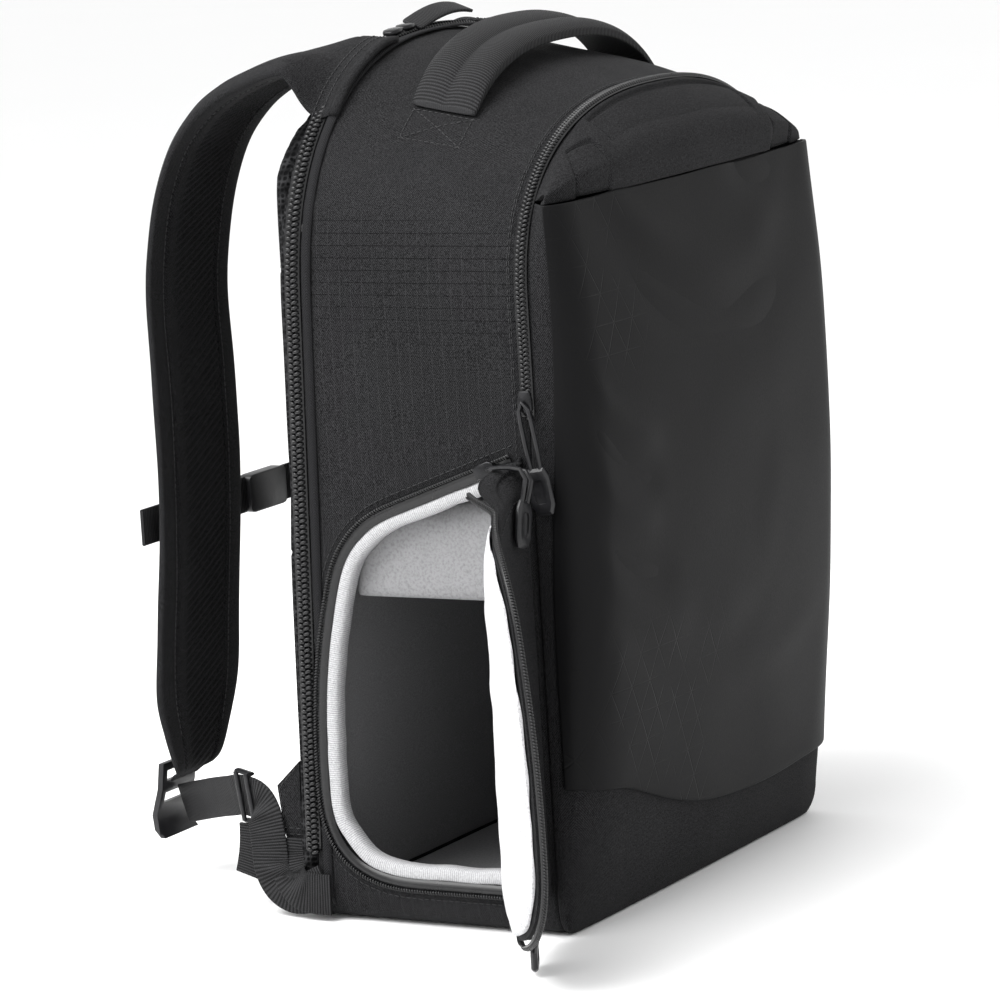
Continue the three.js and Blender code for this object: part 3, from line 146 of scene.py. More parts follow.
@dataclass(frozen=True)
class DoorForm:
    """Sizes of the side opening and of the door that hangs open beside it."""

    length: float = 0.122
    height: float = 0.215
    sill: float = 0.017
    hinge_y: float = -0.056
    near_angle: float = 92.0
    far_angle: float = 119.0
    shut_angle: float = 30.0
    shut_start: float = 0.9
    shut_end: float = 0.975
    corners: tuple[tuple[float, float, float], ...] = (
        (0.0, 0.0, 0.02),
        (1.0, 0.0, 0.42),
        (1.0, 0.46, 0.4),
        (0.84, 0.82, 0.25),
        (0.0, 1.0, 0.02),
    )

    def outline(self, margin: float) -> list[Vector]:
        """Outline of the opening, drawn in by a margin.

        Args:
            margin: distance inwards.

        Returns:
            Points whose x is Y and whose y is Z of the row frame.
        """
        points = [
            Vector((self.hinge_y + along * self.length, self.sill + up * self.height))
            for along, up, _ in self.corners
        ]
        moved = []
        for i, point in enumerate(points):
            before = (point - points[i - 1]).normalized()
            after = (points[(i + 1) % len(points)] - point).normalized()
            turn = 1.0 + before.dot(after)
            inward = Vector((-before.y - after.y, before.x + after.x)) / turn
            shrink = (before.x * after.y - before.y * after.x) / turn * margin
            reach = max(self.corners[i][2] * self.length - shrink, 0.001)
            moved.append((point + inward * margin, reach))
        path = []
        for i, (point, reach) in enumerate(moved):
            before, after = moved[i - 1][0], moved[(i + 1) % len(moved)][0]
            start = point.lerp(before, min(reach / (point - before).length, 0.48))
            end = point.lerp(after, min(reach / (point - after).length, 0.48))
            count = 12 if self.corners[i][2] > 0.1 else 2
            for k in range(count + 1):
                t = k / count
                path.append(start.lerp(point, t).lerp(point.lerp(end, t), t))
        return path

    def reach_at(self, z: float, margin: float) -> float:
        """Farthest reach of the opening from its hinge.

        Args:
            z: height.
            margin: distance inwards.

        Returns:
            Distance from the hinge.
        """
        path = self.outline(margin)
        reaches = [0.0]
        for a, b in zip(path, path[1:] + path[:1]):
            if (a.y - z) * (b.y - z) <= 0.0 and a.y != b.y:
                reaches.append(mix(a.x, b.x, (z - a.y) / (b.y - a.y)) - self.hinge_y)
        return max(reaches)

    def point(self, reach: float, z: float, lift: float) -> Vector:
        """Point of the open door.

        Args:
            reach: distance from the hinge along the door.
            z: height.
            lift: distance off the door's inner face, outwards.

        Returns:
            Point in the row frame.
        """
        shut = smooth_step(self.shut_start, self.shut_end, (z - self.sill) / self.height)

        def at(width: float) -> Vector:
            angle = mix(mix(self.near_angle, self.far_angle, width / self.length), self.shut_angle, shut)
            turn = math.radians(angle)
            return Vector((-0.1338 - width * math.sin(turn), self.hinge_y + width * math.cos(turn), z))

        along = (at(reach + 0.001) - at(reach - 0.001)).normalized()
        return at(reach) + Vector((-along.y, along.x, 0.0)) * lift

    def free_edge(self, margin: float, lift: float, start: float = 0.007) -> list[Vector]:
        """Line along the door's free edge, from its foot round to its top.

        Args:
            margin: distance inwards from the edge.
            lift: distance off the door's inner face.
            start: least distance from the hinge.

        Returns:
            Points in the row frame.
        """
        flat = resample([Vector((p.x, p.y, 0.0)) for p in self.outline(margin)], 0.002)
        top = self.sill + self.height * 0.93
        kept = [p for p in flat if p.x > self.hinge_y + start and p.y < top]
        return [self.point(p.x - self.hinge_y, p.y, lift) for p in kept]

    def around(self, margin: float, x: float, whole: bool = False) -> list[Vector]:
        """Line round the opening on the side of the body.

        Args:
            margin: distance inwards from the opening's edge.
            x: place along X.
            whole: whether it also runs up along the hinge.

        Returns:
            Points in the row frame.
        """
        flat = self.outline(margin)
        line = resample([Vector((x, p.x, p.y)) for p in [*flat, flat[0]]], 0.0015)[:-1]
        if whole:
            line.append(line[0].copy())
            return line
        return [p for p in line if p.y > self.hinge_y + 0.0052]


FORM = PackForm()
DOOR = DoorForm()


def resample(points: Sequence[Vector], pitch: float) -> list[Vector]:
    """Line with points at an even distance.

    Args:
        points: the line.
        pitch: distance wanted between the new points.

    Returns:
        The new points, the first and last of them where they were.
    """
    steps = np.array([(b - a).length for a, b in zip(points, points[1:])])
    places = np.concatenate([[0.0], np.cumsum(steps)])
    count = max(int(round(places[-1] / pitch)), 1)
    table = np.array([tuple(p) for p in points])
    wanted = np.linspace(0.0, places[-1], count + 1)
    columns = [np.interp(wanted, places, table[:, k]) for k in range(3)]
    return [Vector(p) for p in zip(*columns)]


class Sock:
    """One value socket of a node tree, with arithmetic."""

    def __init__(self, graph: "Graph", socket: bpy.types.NodeSocket) -> None:
        """Keeps the socket."""
        self.graph = graph
        self.socket = socket

    def math(self, operation: str, *others: "Value") -> "Sock":
        """Math node on this value."""
        inputs = {i: value for i, value in enumerate((self, *others))}
        return self.graph.node("ShaderNodeMath", {"operation": operation}, inputs)[0]

    def __add__(self, other: "Value") -> "Sock":
        """Sum."""
        return self.math("ADD", other)

    def __radd__(self, other: "Value") -> "Sock":
        """Sum with the other value first."""
        return self.math("ADD", other)

    def __sub__(self, other: "Value") -> "Sock":
        """Difference."""
        return self.math("SUBTRACT", other)

    def __rsub__(self, other: "Value") -> "Sock":
        """Difference with the other value first."""
        return (self * -1.0) + other

    def __mul__(self, other: "Value") -> "Sock":
        """Product."""
        return self.math("MULTIPLY", other)

    def __rmul__(self, other: "Value") -> "Sock":
        """Product with the other value first."""
        return self.math("MULTIPLY", other)

    def __truediv__(self, other: "Value") -> "Sock":
        """Quotient."""
        return self.math("DIVIDE", other)

    def __rtruediv__(self, other: "Value") -> "Sock":
        """Quotient with the other value first."""
        return self.graph.node("ShaderNodeMath", {"operation": "DIVIDE"}, {0: other, 1: self})[0]

    def __gt__(self, other: "Value") -> "Sock":
        """1 where this value is the greater one."""
        return self.math("GREATER_THAN", other)

    def ramp(self, low: float, high: float) -> "Sock":
        """Smooth ramp from 0 to 1."""
        inputs = {0: self, 1: low, 2: high}
        return self.graph.node("ShaderNodeMapRange", {"interpolation_type": "SMOOTHSTEP"}, inputs)[0]

    def wave(self, pitch: float, shift: float = 0.0) -> "Sock":
        """Sine wave over this value."""
        return (self * (2.0 * math.pi / pitch) + shift).math("SINE") * 0.5 + 0.5

    def line(self, pitch: float, width: float) -> "Sock":
        """Thin lines at an even pitch."""
        off = ((self / pitch).math("FRACT") - 0.5).math("ABSOLUTE")
        return off.ramp(0.5 - width, 0.5)


Value = Union[Sock, Number]


class Graph:
    """Node tree of one material."""

    def __init__(self, name: str) -> None:
        """Makes an empty material.

        Args:
            name: name of the material.
        """
        self.material = bpy.data.materials.new(name)
        self.material.use_nodes = True
        self.tree = self.material.node_tree
        self.tree.nodes.clear()

    def node(self, kind: str, settings: Optional[dict] = None, inputs: Optional[dict] = None) -> list[Sock]:
        """Adds a node.

        Args:
            kind: type of the node.
            settings: properties, which are set first.
            inputs: sockets by name or number, with a value, colour or Sock each.

        Returns:
            Its outputs.
        """
        made = self.tree.nodes.new(kind)
        for name, value in (settings or {}).items():
            setattr(made, name, value)
        for name, value in (inputs or {}).items():
            if isinstance(value, Sock):
                self.tree.links.new(value.socket, made.inputs[name])
            else:
                made.inputs[name].default_value = value
        return [Sock(self, output) for output in made.outputs]

    def place(self) -> tuple[Sock, Sock, Sock]:
        """Coordinates of the point in the row frame.

        Returns:
            X, Y and Z.
        """
        spot = self.node("ShaderNodeTexCoord")[3]
        x, y, z = self.node("ShaderNodeSeparateXYZ", None, {0: spot})
        return x, y, z

    def cloth_plane(self) -> tuple[Sock, Sock]:
        """Two coordinates that lie in the surface, whichever way it faces.

        Returns:
            One that runs across and one that runs up.
        """
        x, y, z = self.place()
        facing = self.node("ShaderNodeNewGeometry")[1]
        parts = self.node("ShaderNodeSeparateXYZ", None, {0: facing})
        nx, ny, nz = (part.math("ABSOLUTE") for part in parts)
        side = (nx > ny) * (nx > nz)
        top = (nz > ny) * (nz > nx)
        return y * side + x * (1.0 - side), y * top + z * (1.0 - top)

    def uv(self) -> tuple[Sock, Sock]:
        """Coordinates across and along a strip, in metres.

        Returns:
            Across and along.
        """
        spot = self.node("ShaderNodeTexCoord")[2]
        across, along, _ = self.node("ShaderNodeSeparateXYZ", None, {0: spot})
        return across, along

    def noise(self, size: float, detail: float = 2.0, rough: float = 0.5) -> Sock:
        """Noise in the row frame.

        Args:
            size: size of its lumps.
            detail: number of finer layers.
            rough: strength of the finer layers.

        Returns:
            A value about 0.5.
        """
        spot = self.node("ShaderNodeTexCoord")[3]
        inputs = {"Vector": spot, "Scale": 1.0 / size, "Detail": detail, "Roughness": rough}
        return self.node("ShaderNodeTexNoise", None, inputs)[0]

    def cells(self, a: Sock, b: Sock, size: float, loose: float) -> Sock:
        """Distance to the middle of the nearest cell.

        Args:
            a: first coordinate.
            b: second coordinate.
            size: size of a cell.
            loose: how uneven the cells are.

        Returns:
            Distance in cells.
        """
        spot = self.node("ShaderNodeCombineXYZ", None, {0: a, 1: b, 2: 0.0})[0]
        inputs = {"Vector": spot, "Scale": 1.0 / size, "Randomness": loose}
        return self.node("ShaderNodeTexVoronoi", {"feature": "F1"}, inputs)[0]

    def blend(self, share: Value, low: Union[Sock, Rgb], high: Union[Sock, Rgb]) -> Sock:
        """Colour between two others.

        Args:
            share: place between them.
            low: colour at 0.
            high: colour at 1.

        Returns:
            The colour.
        """
        colours = {6: low, 7: high}
        inputs = {k: c if isinstance(c, Sock) else (*c, 1.0) for k, c in colours.items()}
        return self.node("ShaderNodeMix", {"data_type": "RGBA"}, {0: share, **inputs})[2]

    def bump(self, height: Sock, depth: float, under: Optional[Sock] = None) -> Sock:
        """Bump map.

        Args:
            height: height from 0 to 1.
            depth: distance that a height of 1 stands for.
            under: normal of a coarser bump below it.

        Returns:
            The normal.
        """
        inputs = {"Strength": 1.0, "Distance": depth, "Height": height}
        if under is not None:
            inputs["Normal"] = under
        return self.node("ShaderNodeBump", None, inputs)[0]

    def surface(
        self, colour: Union[Sock, Rgb], roughness: Value, normal: Optional[Sock] = None, **constants: float
    ) -> bpy.types.Material:
        """Ends the graph with its surface.

        Args:
            colour: base colour.
            roughness: roughness.
            normal: normal of the bumps.
            constants: further sockets by name with underscores for spaces.

        Returns:
            The material.
        """
        base = colour if isinstance(colour, Sock) else (*colour, 1.0)
        inputs: dict = {"Base Color": base, "Roughness": roughness}
        if normal is not None:
            inputs["Normal"] = normal
        inputs.update({name.replace("_", " "): value for name, value in constants.items()})
        shader = self.node("ShaderNodeBsdfPrincipled", None, inputs)[0]
        self.node("ShaderNodeOutputMaterial", None, {0: shader})
        return self.material


@dataclass(frozen=True)
class Twill:
    """Finely woven cloth, with a ripstop grid where it is asked for."""

    name: str = "twill"
    dark: Rgb = (0.001, 0.001, 0.0012)
    light: Rgb = (0.031, 0.031, 0.0325)
    pitch: float = 0.00105
    roughness: float = 0.82
    grid: bool = False

    def make(self) -> bpy.types.Material:
        """Builds the material.

        Returns:
            The material.
        """
        g = Graph(self.name)
        a, b = g.cloth_plane()
        grain = g.noise(0.0006, 2.0, 0.6)
        wale = (a + b * 0.8).wave(self.pitch)
        cross = (a - b * 1.2).wave(self.pitch * 0.8)
        height = wale * 0.6 + cross * 0.25 + grain * 0.5
        # Painted shade: the twill wave that raises the bump also darkens the colour in its valleys.
        share = (grain - 0.5) * 2.4 + 0.42 + (wale - 0.5) * 0.45
        cloud = g.noise(0.05, 3.0)
        share = share + (cloud - 0.5) * 0.25
        if self.grid:
            x, y, z = g.place()
            flank = (x * -1.0).ramp(0.126, 0.131)
            rise = z - y * 0.23
            rows = z.line(0.0057, 0.055) * rise.ramp(0.245, 0.33) * flank
            columns = y.line(0.006, 0.05) * rise.ramp(0.385, 0.36) * flank
            height = height - rows * 0.7 + columns * 0.5
            # Painted shade and highlight: the sunk grid rows darken the colour and the raised columns
            # lighten it.
            share = share - rows * 0.5 + columns * 0.34
        normal = g.bump(height, 0.00016)
        colour = g.blend(share, self.dark, self.light)
        rough = self.roughness + (grain - 0.5) * 0.15
        gloss = {"Sheen_Weight": 0.012, "Sheen_Roughness": 0.5, "Specular_IOR_Level": 0.07}
        return g.surface(colour, rough, normal, **gloss)


@dataclass(frozen=True)
class Coated:
    """Smooth coated cloth with a faint pressed lattice that fades in patches."""

    name: str = "coated"
    colour: Rgb = (0.0036, 0.0036, 0.0039)
    cell: float = 0.0165

    def make(self) -> bpy.types.Material:
        """Builds the material.

        Returns:
            The material.
        """
        g = Graph(self.name)
        x, _, z = g.place()
        rise = z / (self.cell * 0.866)
        lines = [rise, x / self.cell + rise * 0.5, x / self.cell - rise * 0.5]
        lattice = lines[0].line(1.0, 0.035)
        for other in lines[1:]:
            lattice = lattice.math("MAXIMUM", other.line(1.0, 0.035))
        upper = x.ramp(-0.055, -0.105) * z.ramp(0.225, 0.285)
        lower = x.ramp(0.01, -0.05) * z.ramp(0.155, 0.115)
        patch = (upper + lower).math("MINIMUM", 1.0) * g.noise(0.03, 2.0).ramp(0.36, 0.6)
        grain = g.noise(0.0009, 3.0, 0.6)
        cloud = g.noise(0.07, 3.0)
        soft = g.bump(lattice * patch * -1.0, 0.00014)
        normal = g.bump(grain, 0.00005, soft)
        colour = g.blend(cloud.ramp(0.3, 0.7), self.colour, tuple(c * 1.22 for c in self.colour))
        rough = 0.5 + (grain - 0.5) * 0.16 + (cloud - 0.5) * 0.1 - lattice * patch * 0.1
        return g.surface(colour, rough, normal, Specular_IOR_Level=0.09)


@dataclass(frozen=True)
class AirMesh:
    """Spacer mesh with small holes and, where they are asked for, slanted ribs."""

    name: str = "air_mesh"
    dark: Rgb = (0.0022, 0.0022, 0.0025)
    light: Rgb = (0.034, 0.034, 0.0355)
    hole: float = 0.0022
    rib: float = 0.0042
    slant: float = 0.55
    ribbed: bool = True
    on_strip: bool = True

    def make(self) -> bpy.types.Material:
        """Builds the material.

        Returns:
            The material.
        """
        g = Graph(self.name)
        a, b = g.uv() if self.on_strip else g.cloth_plane()
        hole = g.cells(a, b, self.hole, 0.12).ramp(0.18, 0.5)
        grain = g.noise(0.0005)
        # Painted shade: the colour darkens in the holes, where the bump is low.
        share = hole * 0.75 + (grain - 0.5) * 0.5
        height = hole + grain * 0.3
        if self.ribbed:
            rib = (b + a * self.slant).wave(self.rib, -math.pi / 2.0)
            # Painted shade: the colour darkens between the ribs, on the same wave as the bump.
            share = share * (rib * 0.8 + 0.2)
            height = height * 0.5 + rib
        normal = g.bump(height, 0.0007)
        colour = g.blend(share, self.dark, self.light)
        return g.surface(colour, 0.78, normal, Sheen_Weight=0.008, Specular_IOR_Level=0.05)


@dataclass(frozen=True)
class Webbing:
    """Woven strap with ribs across it."""

    name: str = "webbing"
    dark: Rgb = (0.002, 0.002, 0.0022)
    light: Rgb = (0.034, 0.034, 0.0355)
    rib: float = 0.0014
    along_x: bool = False

    def make(self) -> bpy.types.Material:
        """Builds the material.

        Returns:
            The material.
        """
        g = Graph(self.name)
        if self.along_x:
            along, across, _ = g.place()
        else:
            across, along = g.uv()
        rib = along.wave(self.rib)
        thread = (across + along * 0.35).wave(0.0011)
        grain = g.noise(0.0005)
        height = rib * 0.8 + thread * rib * 0.35 + grain * 0.2
        normal = g.bump(height, 0.00032)
        # Painted shade: the colour darkens in the valleys between the ribs, on the same wave as the bump.
        colour = g.blend(rib * 0.75 + (grain - 0.5) * 0.8 + thread * 0.1, self.dark, self.light)
        return g.surface(colour, 0.6, normal, Sheen_Weight=0.01, Specular_IOR_Level=0.1)


@dataclass(frozen=True)
class Grosgrain:
    """Pale ribbed binding tape."""

    name: str = "grosgrain"
    dark: Rgb = (0.2, 0.2, 0.205)
    light: Rgb = (0.52, 0.52, 0.53)
    rib: float = 0.00105

    def make(self) -> bpy.types.Material:
        """Builds the material.

        Returns:
            The material.
        """
        g = Graph(self.name)
        across, along = g.uv()
        rib = along.wave(self.rib)
        fine = across.wave(0.0007)
        grain = g.noise(0.0008)
        normal = g.bump(rib + fine * 0.2 + grain * 0.4, 0.00012)
        # Painted shade: the colour darkens in the valleys between the ribs, on the same wave as the bump.
        colour = g.blend(rib * 0.5 + (grain - 0.5) * 0.9 + 0.3, self.dark, self.light)
        return g.surface(colour, 0.85, normal, Sheen_Weight=0.05)


@dataclass(frozen=True)
class Fleece:
    """Brushed pale lining."""

    name: str = "fleece"
    dark: Rgb = (0.34, 0.34, 0.35)
    light: Rgb = (0.64, 0.64, 0.65)
    lump: float = 0.0011
    depth: float = 0.0008

    def make(self) -> bpy.types.Material:
        """Builds the material.

        Returns:
            The material.
        """
        g = Graph(self.name)
        pile = g.noise(self.lump, 4.0, 0.65)
        cloud = g.noise(0.012, 2.0)
        normal = g.bump(pile, self.depth)
        colour = g.blend(pile.ramp(0.25, 0.6) * 0.8 + cloud * 0.25, self.dark, self.light)
        gloss = {"Sheen_Weight": 0.12, "Sheen_Roughness": 0.6, "Specular_IOR_Level": 0.1}
        return g.surface(colour, 0.92, normal, **gloss)


@dataclass(frozen=True)
class Moulded:
    """Moulded plastic or coated metal."""

    name: str = "moulded"
    colour: Rgb = (0.008, 0.008, 0.009)
    roughness: float = 0.38
    metallic: float = 0.0

    def make(self) -> bpy.types.Material:
        """Builds the material.

        Returns:
            The material.
        """
        g = Graph(self.name)
        grain = g.noise(0.0007, 2.0)
        wear = g.noise(0.006, 3.0)
        normal = g.bump(grain, 0.00004)
        colour = g.blend(wear.ramp(0.45, 0.75), self.colour, tuple(c * 1.8 for c in self.colour))
        rough = self.roughness + (wear - 0.5) * 0.25
        return g.surface(colour, rough, normal, Metallic=self.metallic, Specular_IOR_Level=0.4)


@dataclass(frozen=True)
class Tape:
    """Herringbone tape."""

    name: str = "tape"
    dark: Rgb = (0.0045, 0.0045, 0.005)
    light: Rgb = (0.026, 0.026, 0.028)
    pitch: float = 0.0013

    def make(self) -> bpy.types.Material:
        """Builds the material.

        Returns:
            The material.
        """
        g = Graph(self.name)
        across, along = g.uv()
        bone = (along + (across - 0.0025).math("ABSOLUTE")).wave(self.pitch)
        grain = g.noise(0.0005)
        normal = g.bump(bone + grain * 0.4, 0.0002)
        # Painted shade: the colour darkens in the valleys of the herringbone, on the same wave as the bump.
        colour = g.blend(bone * 0.7 + (grain - 0.5), self.dark, self.light)
        return g.surface(colour, 0.75, normal, Sheen_Weight=0.01, Specular_IOR_Level=0.1)


@dataclass(frozen=True)
class Plain:
    """Even surface for the floor."""

    name: str = "floor"
    colour: Rgb = (0.97, 0.97, 0.97)

    def make(self) -> bpy.types.Material:
        """Builds the material.

        Returns:
            The material.
        """
        g = Graph(self.name)
        haze = g.noise(0.4, 2.0)
        colour = g.blend(haze, self.colour, tuple(c * 0.985 for c in self.colour))
        return g.surface(colour, 0.6, None, Specular_IOR_Level=0.2)


class Finish(Enum):
    """The finishes that the pieces share."""

    TWILL = Twill()
    RIPSTOP = Twill(name="ripstop", grid=True)
    COATED = Coated()
    BACK_MESH = AirMesh(name="back_mesh", hole=0.0026, rib=0.0085, slant=0.45, on_strip=False)
    CELL_MESH = AirMesh(name="cell_mesh", hole=0.0021, ribbed=False)
    RIB_MESH = AirMesh(name="rib_mesh")
    WEBBING = Webbing()
    HANDLE = Webbing(name="handle_webbing", along_x=True)
    GROSGRAIN = Grosgrain()
    FLEECE = Fleece()
    PALE = Fleece(
        name="pale_lining", dark=(0.15, 0.15, 0.155), light=(0.24, 0.24, 0.245), lump=0.0014, depth=0.0003
    )
    INSIDE = Twill(name="dark_lining", dark=(0.15, 0.15, 0.153), light=(0.24, 0.24, 0.244))
    COIL = Moulded(name="coil", colour=(0.0055, 0.0055, 0.006), roughness=0.3)
    PLASTIC = Moulded(name="plastic")
    METAL = Moulded(name="black_metal", colour=(0.012, 0.012, 0.013), roughness=0.28, metallic=0.6)
    THREAD = Moulded(name="thread", colour=(0.014, 0.014, 0.015), roughness=0.6)
    TAPE = Tape()
    FLOOR = Plain()


class Shop:
    """Keeps one material for each finish."""

    made: dict[str, bpy.types.Material] = {}

    @classmethod
    def get(cls, finish: Finish) -> bpy.types.Material:
        """Material of a finish, built on its first use.

        Args:
            finish: the finish.

        Returns:
            The material.
        """
        if finish.name not in cls.made:
            cls.made[finish.name] = finish.value.make()
        return cls.made[finish.name]


class Piece:
    """One mesh object and the steps that shape it."""

    def __init__(self, name: str, mesh: bpy.types.Mesh, *finishes: Finish) -> None:
        """Makes the object.

        Args:
            name: name of the piece.
            mesh: its mesh.
            finishes: its finishes, by slot.
        """
        self.object = bpy.data.objects.new(name, mesh)
        bpy.context.scene.collection.objects.link(self.object)
        mesh.materials.clear()
        for finish in finishes:
            mesh.materials.append(Shop.get(finish))

    @property
    def mesh(self) -> bpy.types.Mesh:
        """The object's mesh."""
        return self.object.data

    @classmethod
    def of_node(cls, node: str, name: str, *finishes: Finish) -> "Piece":
        """Copy of a node of the frame."""
        return cls(name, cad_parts[node].data.copy(), *finishes)

    def points(self) -> np.ndarray:
        """Places of the vertices.

        Returns:
            Array of n by 3.
        """
        flat = np.empty(len(self.mesh.vertices) * 3)
        self.mesh.vertices.foreach_get("co", flat)
        return flat.reshape(-1, 3)

    def normals(self) -> np.ndarray:
        """Normals of the vertices.

        Returns:
            Array of n by 3.
        """
        flat = np.empty(len(self.mesh.vertices) * 3)
        self.mesh.vertices.foreach_get("normal", flat)
        return flat.reshape(-1, 3)

    def move(self, points: np.ndarray) -> "Piece":
        """Puts the vertices in new places.

        Args:
            points: array of n by 3.

        Returns:
            The piece.
        """
        self.mesh.vertices.foreach_set("co", points.ravel())
        self.mesh.update()
        return self

    def bake(self) -> "Piece":
        """Turns the modifiers into the mesh.

        Returns:
            The piece.
        """
        view = bpy.context.evaluated_depsgraph_get()
        kept = list(self.mesh.materials)
        fresh = bpy.data.meshes.new_from_object(self.object.evaluated_get(view))
        self.object.modifiers.clear()
        self.object.data = fresh
        fresh.materials.clear()
        for material in kept:
            fresh.materials.append(material)
        return self

    def quads(self, sharp: float = 48.0) -> "Piece":
        """Joins triangles into quads and creases the sharp edges.

        Args:
            sharp: least angle of a sharp edge, in degrees.

        Returns:
            The piece.
        """
        work = bmesh.new()
        work.from_mesh(self.mesh)
        bmesh.ops.remove_doubles(work, verts=work.verts, dist=2e-6)
        flat, skewed = math.radians(35), math.radians(75)
        bmesh.ops.join_triangles(
            work, faces=work.faces, angle_face_threshold=flat, angle_shape_threshold=skewed
        )
        crease = work.edges.layers.float.get("crease_edge") or work.edges.layers.float.new("crease_edge")
        for edge in work.edges:
            if edge.calc_face_angle(0.0) > math.radians(sharp):
                edge[crease] = 0.8
        work.to_mesh(self.mesh)
        work.free()
        return self

    def subdivide(self, levels: int) -> "Piece":
        """Rounds the mesh by subdivision.

        Args:
            levels: number of times.

        Returns:
            The piece.
        """
        change = self.object.modifiers.new("round", "SUBSURF")
        change.levels = change.render_levels = max(levels - (0), 0)
        return self.bake()

    def remesh(self, size: float, rounds: int = 4) -> "Piece":
        """Rebuilds the mesh from even voxels and smooths it.

        Args:
            size: size of a voxel.
            rounds: number of smoothing steps.

        Returns:
            The piece.
        """
        change = self.object.modifiers.new("remesh", "REMESH")
        change.mode = "VOXEL"
        change.voxel_size = size * 1.0
        even = self.object.modifiers.new("even", "SMOOTH")
        even.factor = 0.5
        even.iterations = rounds
        return self.bake()

    def bevel(self, width: float, angle: float = 30.0) -> "Piece":
        """Rounds the edges of a hard piece.

        Args:
            width: width of the rounding.
            angle: least angle of an edge that is rounded, in degrees.

        Returns:
            The piece.
        """
        change = self.object.modifiers.new("bevel", "BEVEL")
        change.width = width
        change.segments = 2
        change.limit_method = "ANGLE"
        change.angle_limit = math.radians(angle)
        change.harden_normals = False
        return self.bake()

    def inflate(self, pressure: float, cap: float, stiffness: float = 15.0) -> "Piece":
        """Fills the piece as a cloth simulation does.

        Args:
            pressure: pressure of the filling.
            cap: largest distance that a point may move.
            stiffness: stiffness of the cloth.

        Returns:
            The piece.
        """
        before = self.points()
        change = self.object.modifiers.new("cloth", "CLOTH")
        cloth = change.settings
        cloth.quality = 4
        cloth.mass = 0.3
        cloth.tension_stiffness = stiffness
        cloth.compression_stiffness = stiffness
        cloth.shear_stiffness = stiffness * 0.4
        cloth.bending_stiffness = 0.4
        cloth.use_pressure = True
        cloth.uniform_pressure_force = pressure
        cloth.effector_weights.gravity = 0.0
        change.collision_settings.use_collision = False
        change.point_cache.frame_start = 1
        change.point_cache.frame_end = 20
        scene = bpy.context.scene
        for number in range(1, 21):
            scene.frame_set(number)
        view = bpy.context.evaluated_depsgraph_get()
        flat = np.empty(before.size)
        self.object.evaluated_get(view).data.vertices.foreach_get("co", flat)
        shift = flat.reshape(-1, 3) - before
        length = np.linalg.norm(shift, axis=1, keepdims=True)
        shift *= np.minimum(1.0, cap / np.maximum(length, 1e-9))
        self.object.modifiers.clear()
        scene.frame_set(1)
        return self.move(before + shift)

    def swell(self, amount: Field) -> "Piece":
        """Moves each vertex along its normal.

        Args:
            amount: distance for a point.

        Returns:
            The piece.
        """
        points, normals = self.points(), self.normals()
        heights = np.array([amount(Vector(p)) for p in points])
        return self.move(points + normals * heights[:, None])

    def paint(self, chosen: Callable[[np.ndarray, np.ndarray], np.ndarray], slot: int = 1) -> "Piece":
        """Gives some faces another finish.

        Args:
            chosen: function of the faces' middles and normals that says which faces are meant.
            slot: number of the finish.

        Returns:
            The piece.
        """
        count = len(self.mesh.polygons)
        middles, normals = np.empty(count * 3), np.empty(count * 3)
        self.mesh.polygons.foreach_get("center", middles)
        self.mesh.polygons.foreach_get("normal", normals)
        current = np.empty(count, dtype=np.int32)
        self.mesh.polygons.foreach_get("material_index", current)
        current[chosen(middles.reshape(-1, 3), normals.reshape(-1, 3))] = slot
        self.mesh.polygons.foreach_set("material_index", current)
        return self

    def shade(self, angle: float = 180.0) -> "Piece":
        """Shades the mesh smooth, apart from sharp edges.

        Args:
            angle: least angle of a sharp edge, in degrees.

        Returns:
            The piece.
        """
        self.mesh.shade_smooth()
        if angle < 180.0:
            self.mesh.set_sharp_from_angle(angle=math.radians(angle))
        return self

    def tree(self) -> BVHTree:
        """Search tree of the piece."""
        faces = [tuple(p.vertices) for p in self.mesh.polygons]
        return BVHTree.FromPolygons([v.co.copy() for v in self.mesh.vertices], faces)

    def stand_for(self, slot: str, *nodes: str, fill: Optional[float] = None) -> "Piece":
        """Puts the piece into the frame.

        Args:
            slot: name of a material slot; not used.
            nodes: nodes that it replaces.
            fill: how full a padded piece is; not used.

        Returns:
            The piece.
        """
        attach(self.object, "root")
        if nodes:
            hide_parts(*nodes)
        LOG.info("%s: %d faces", self.object.name, len(self.mesh.polygons))
        return self


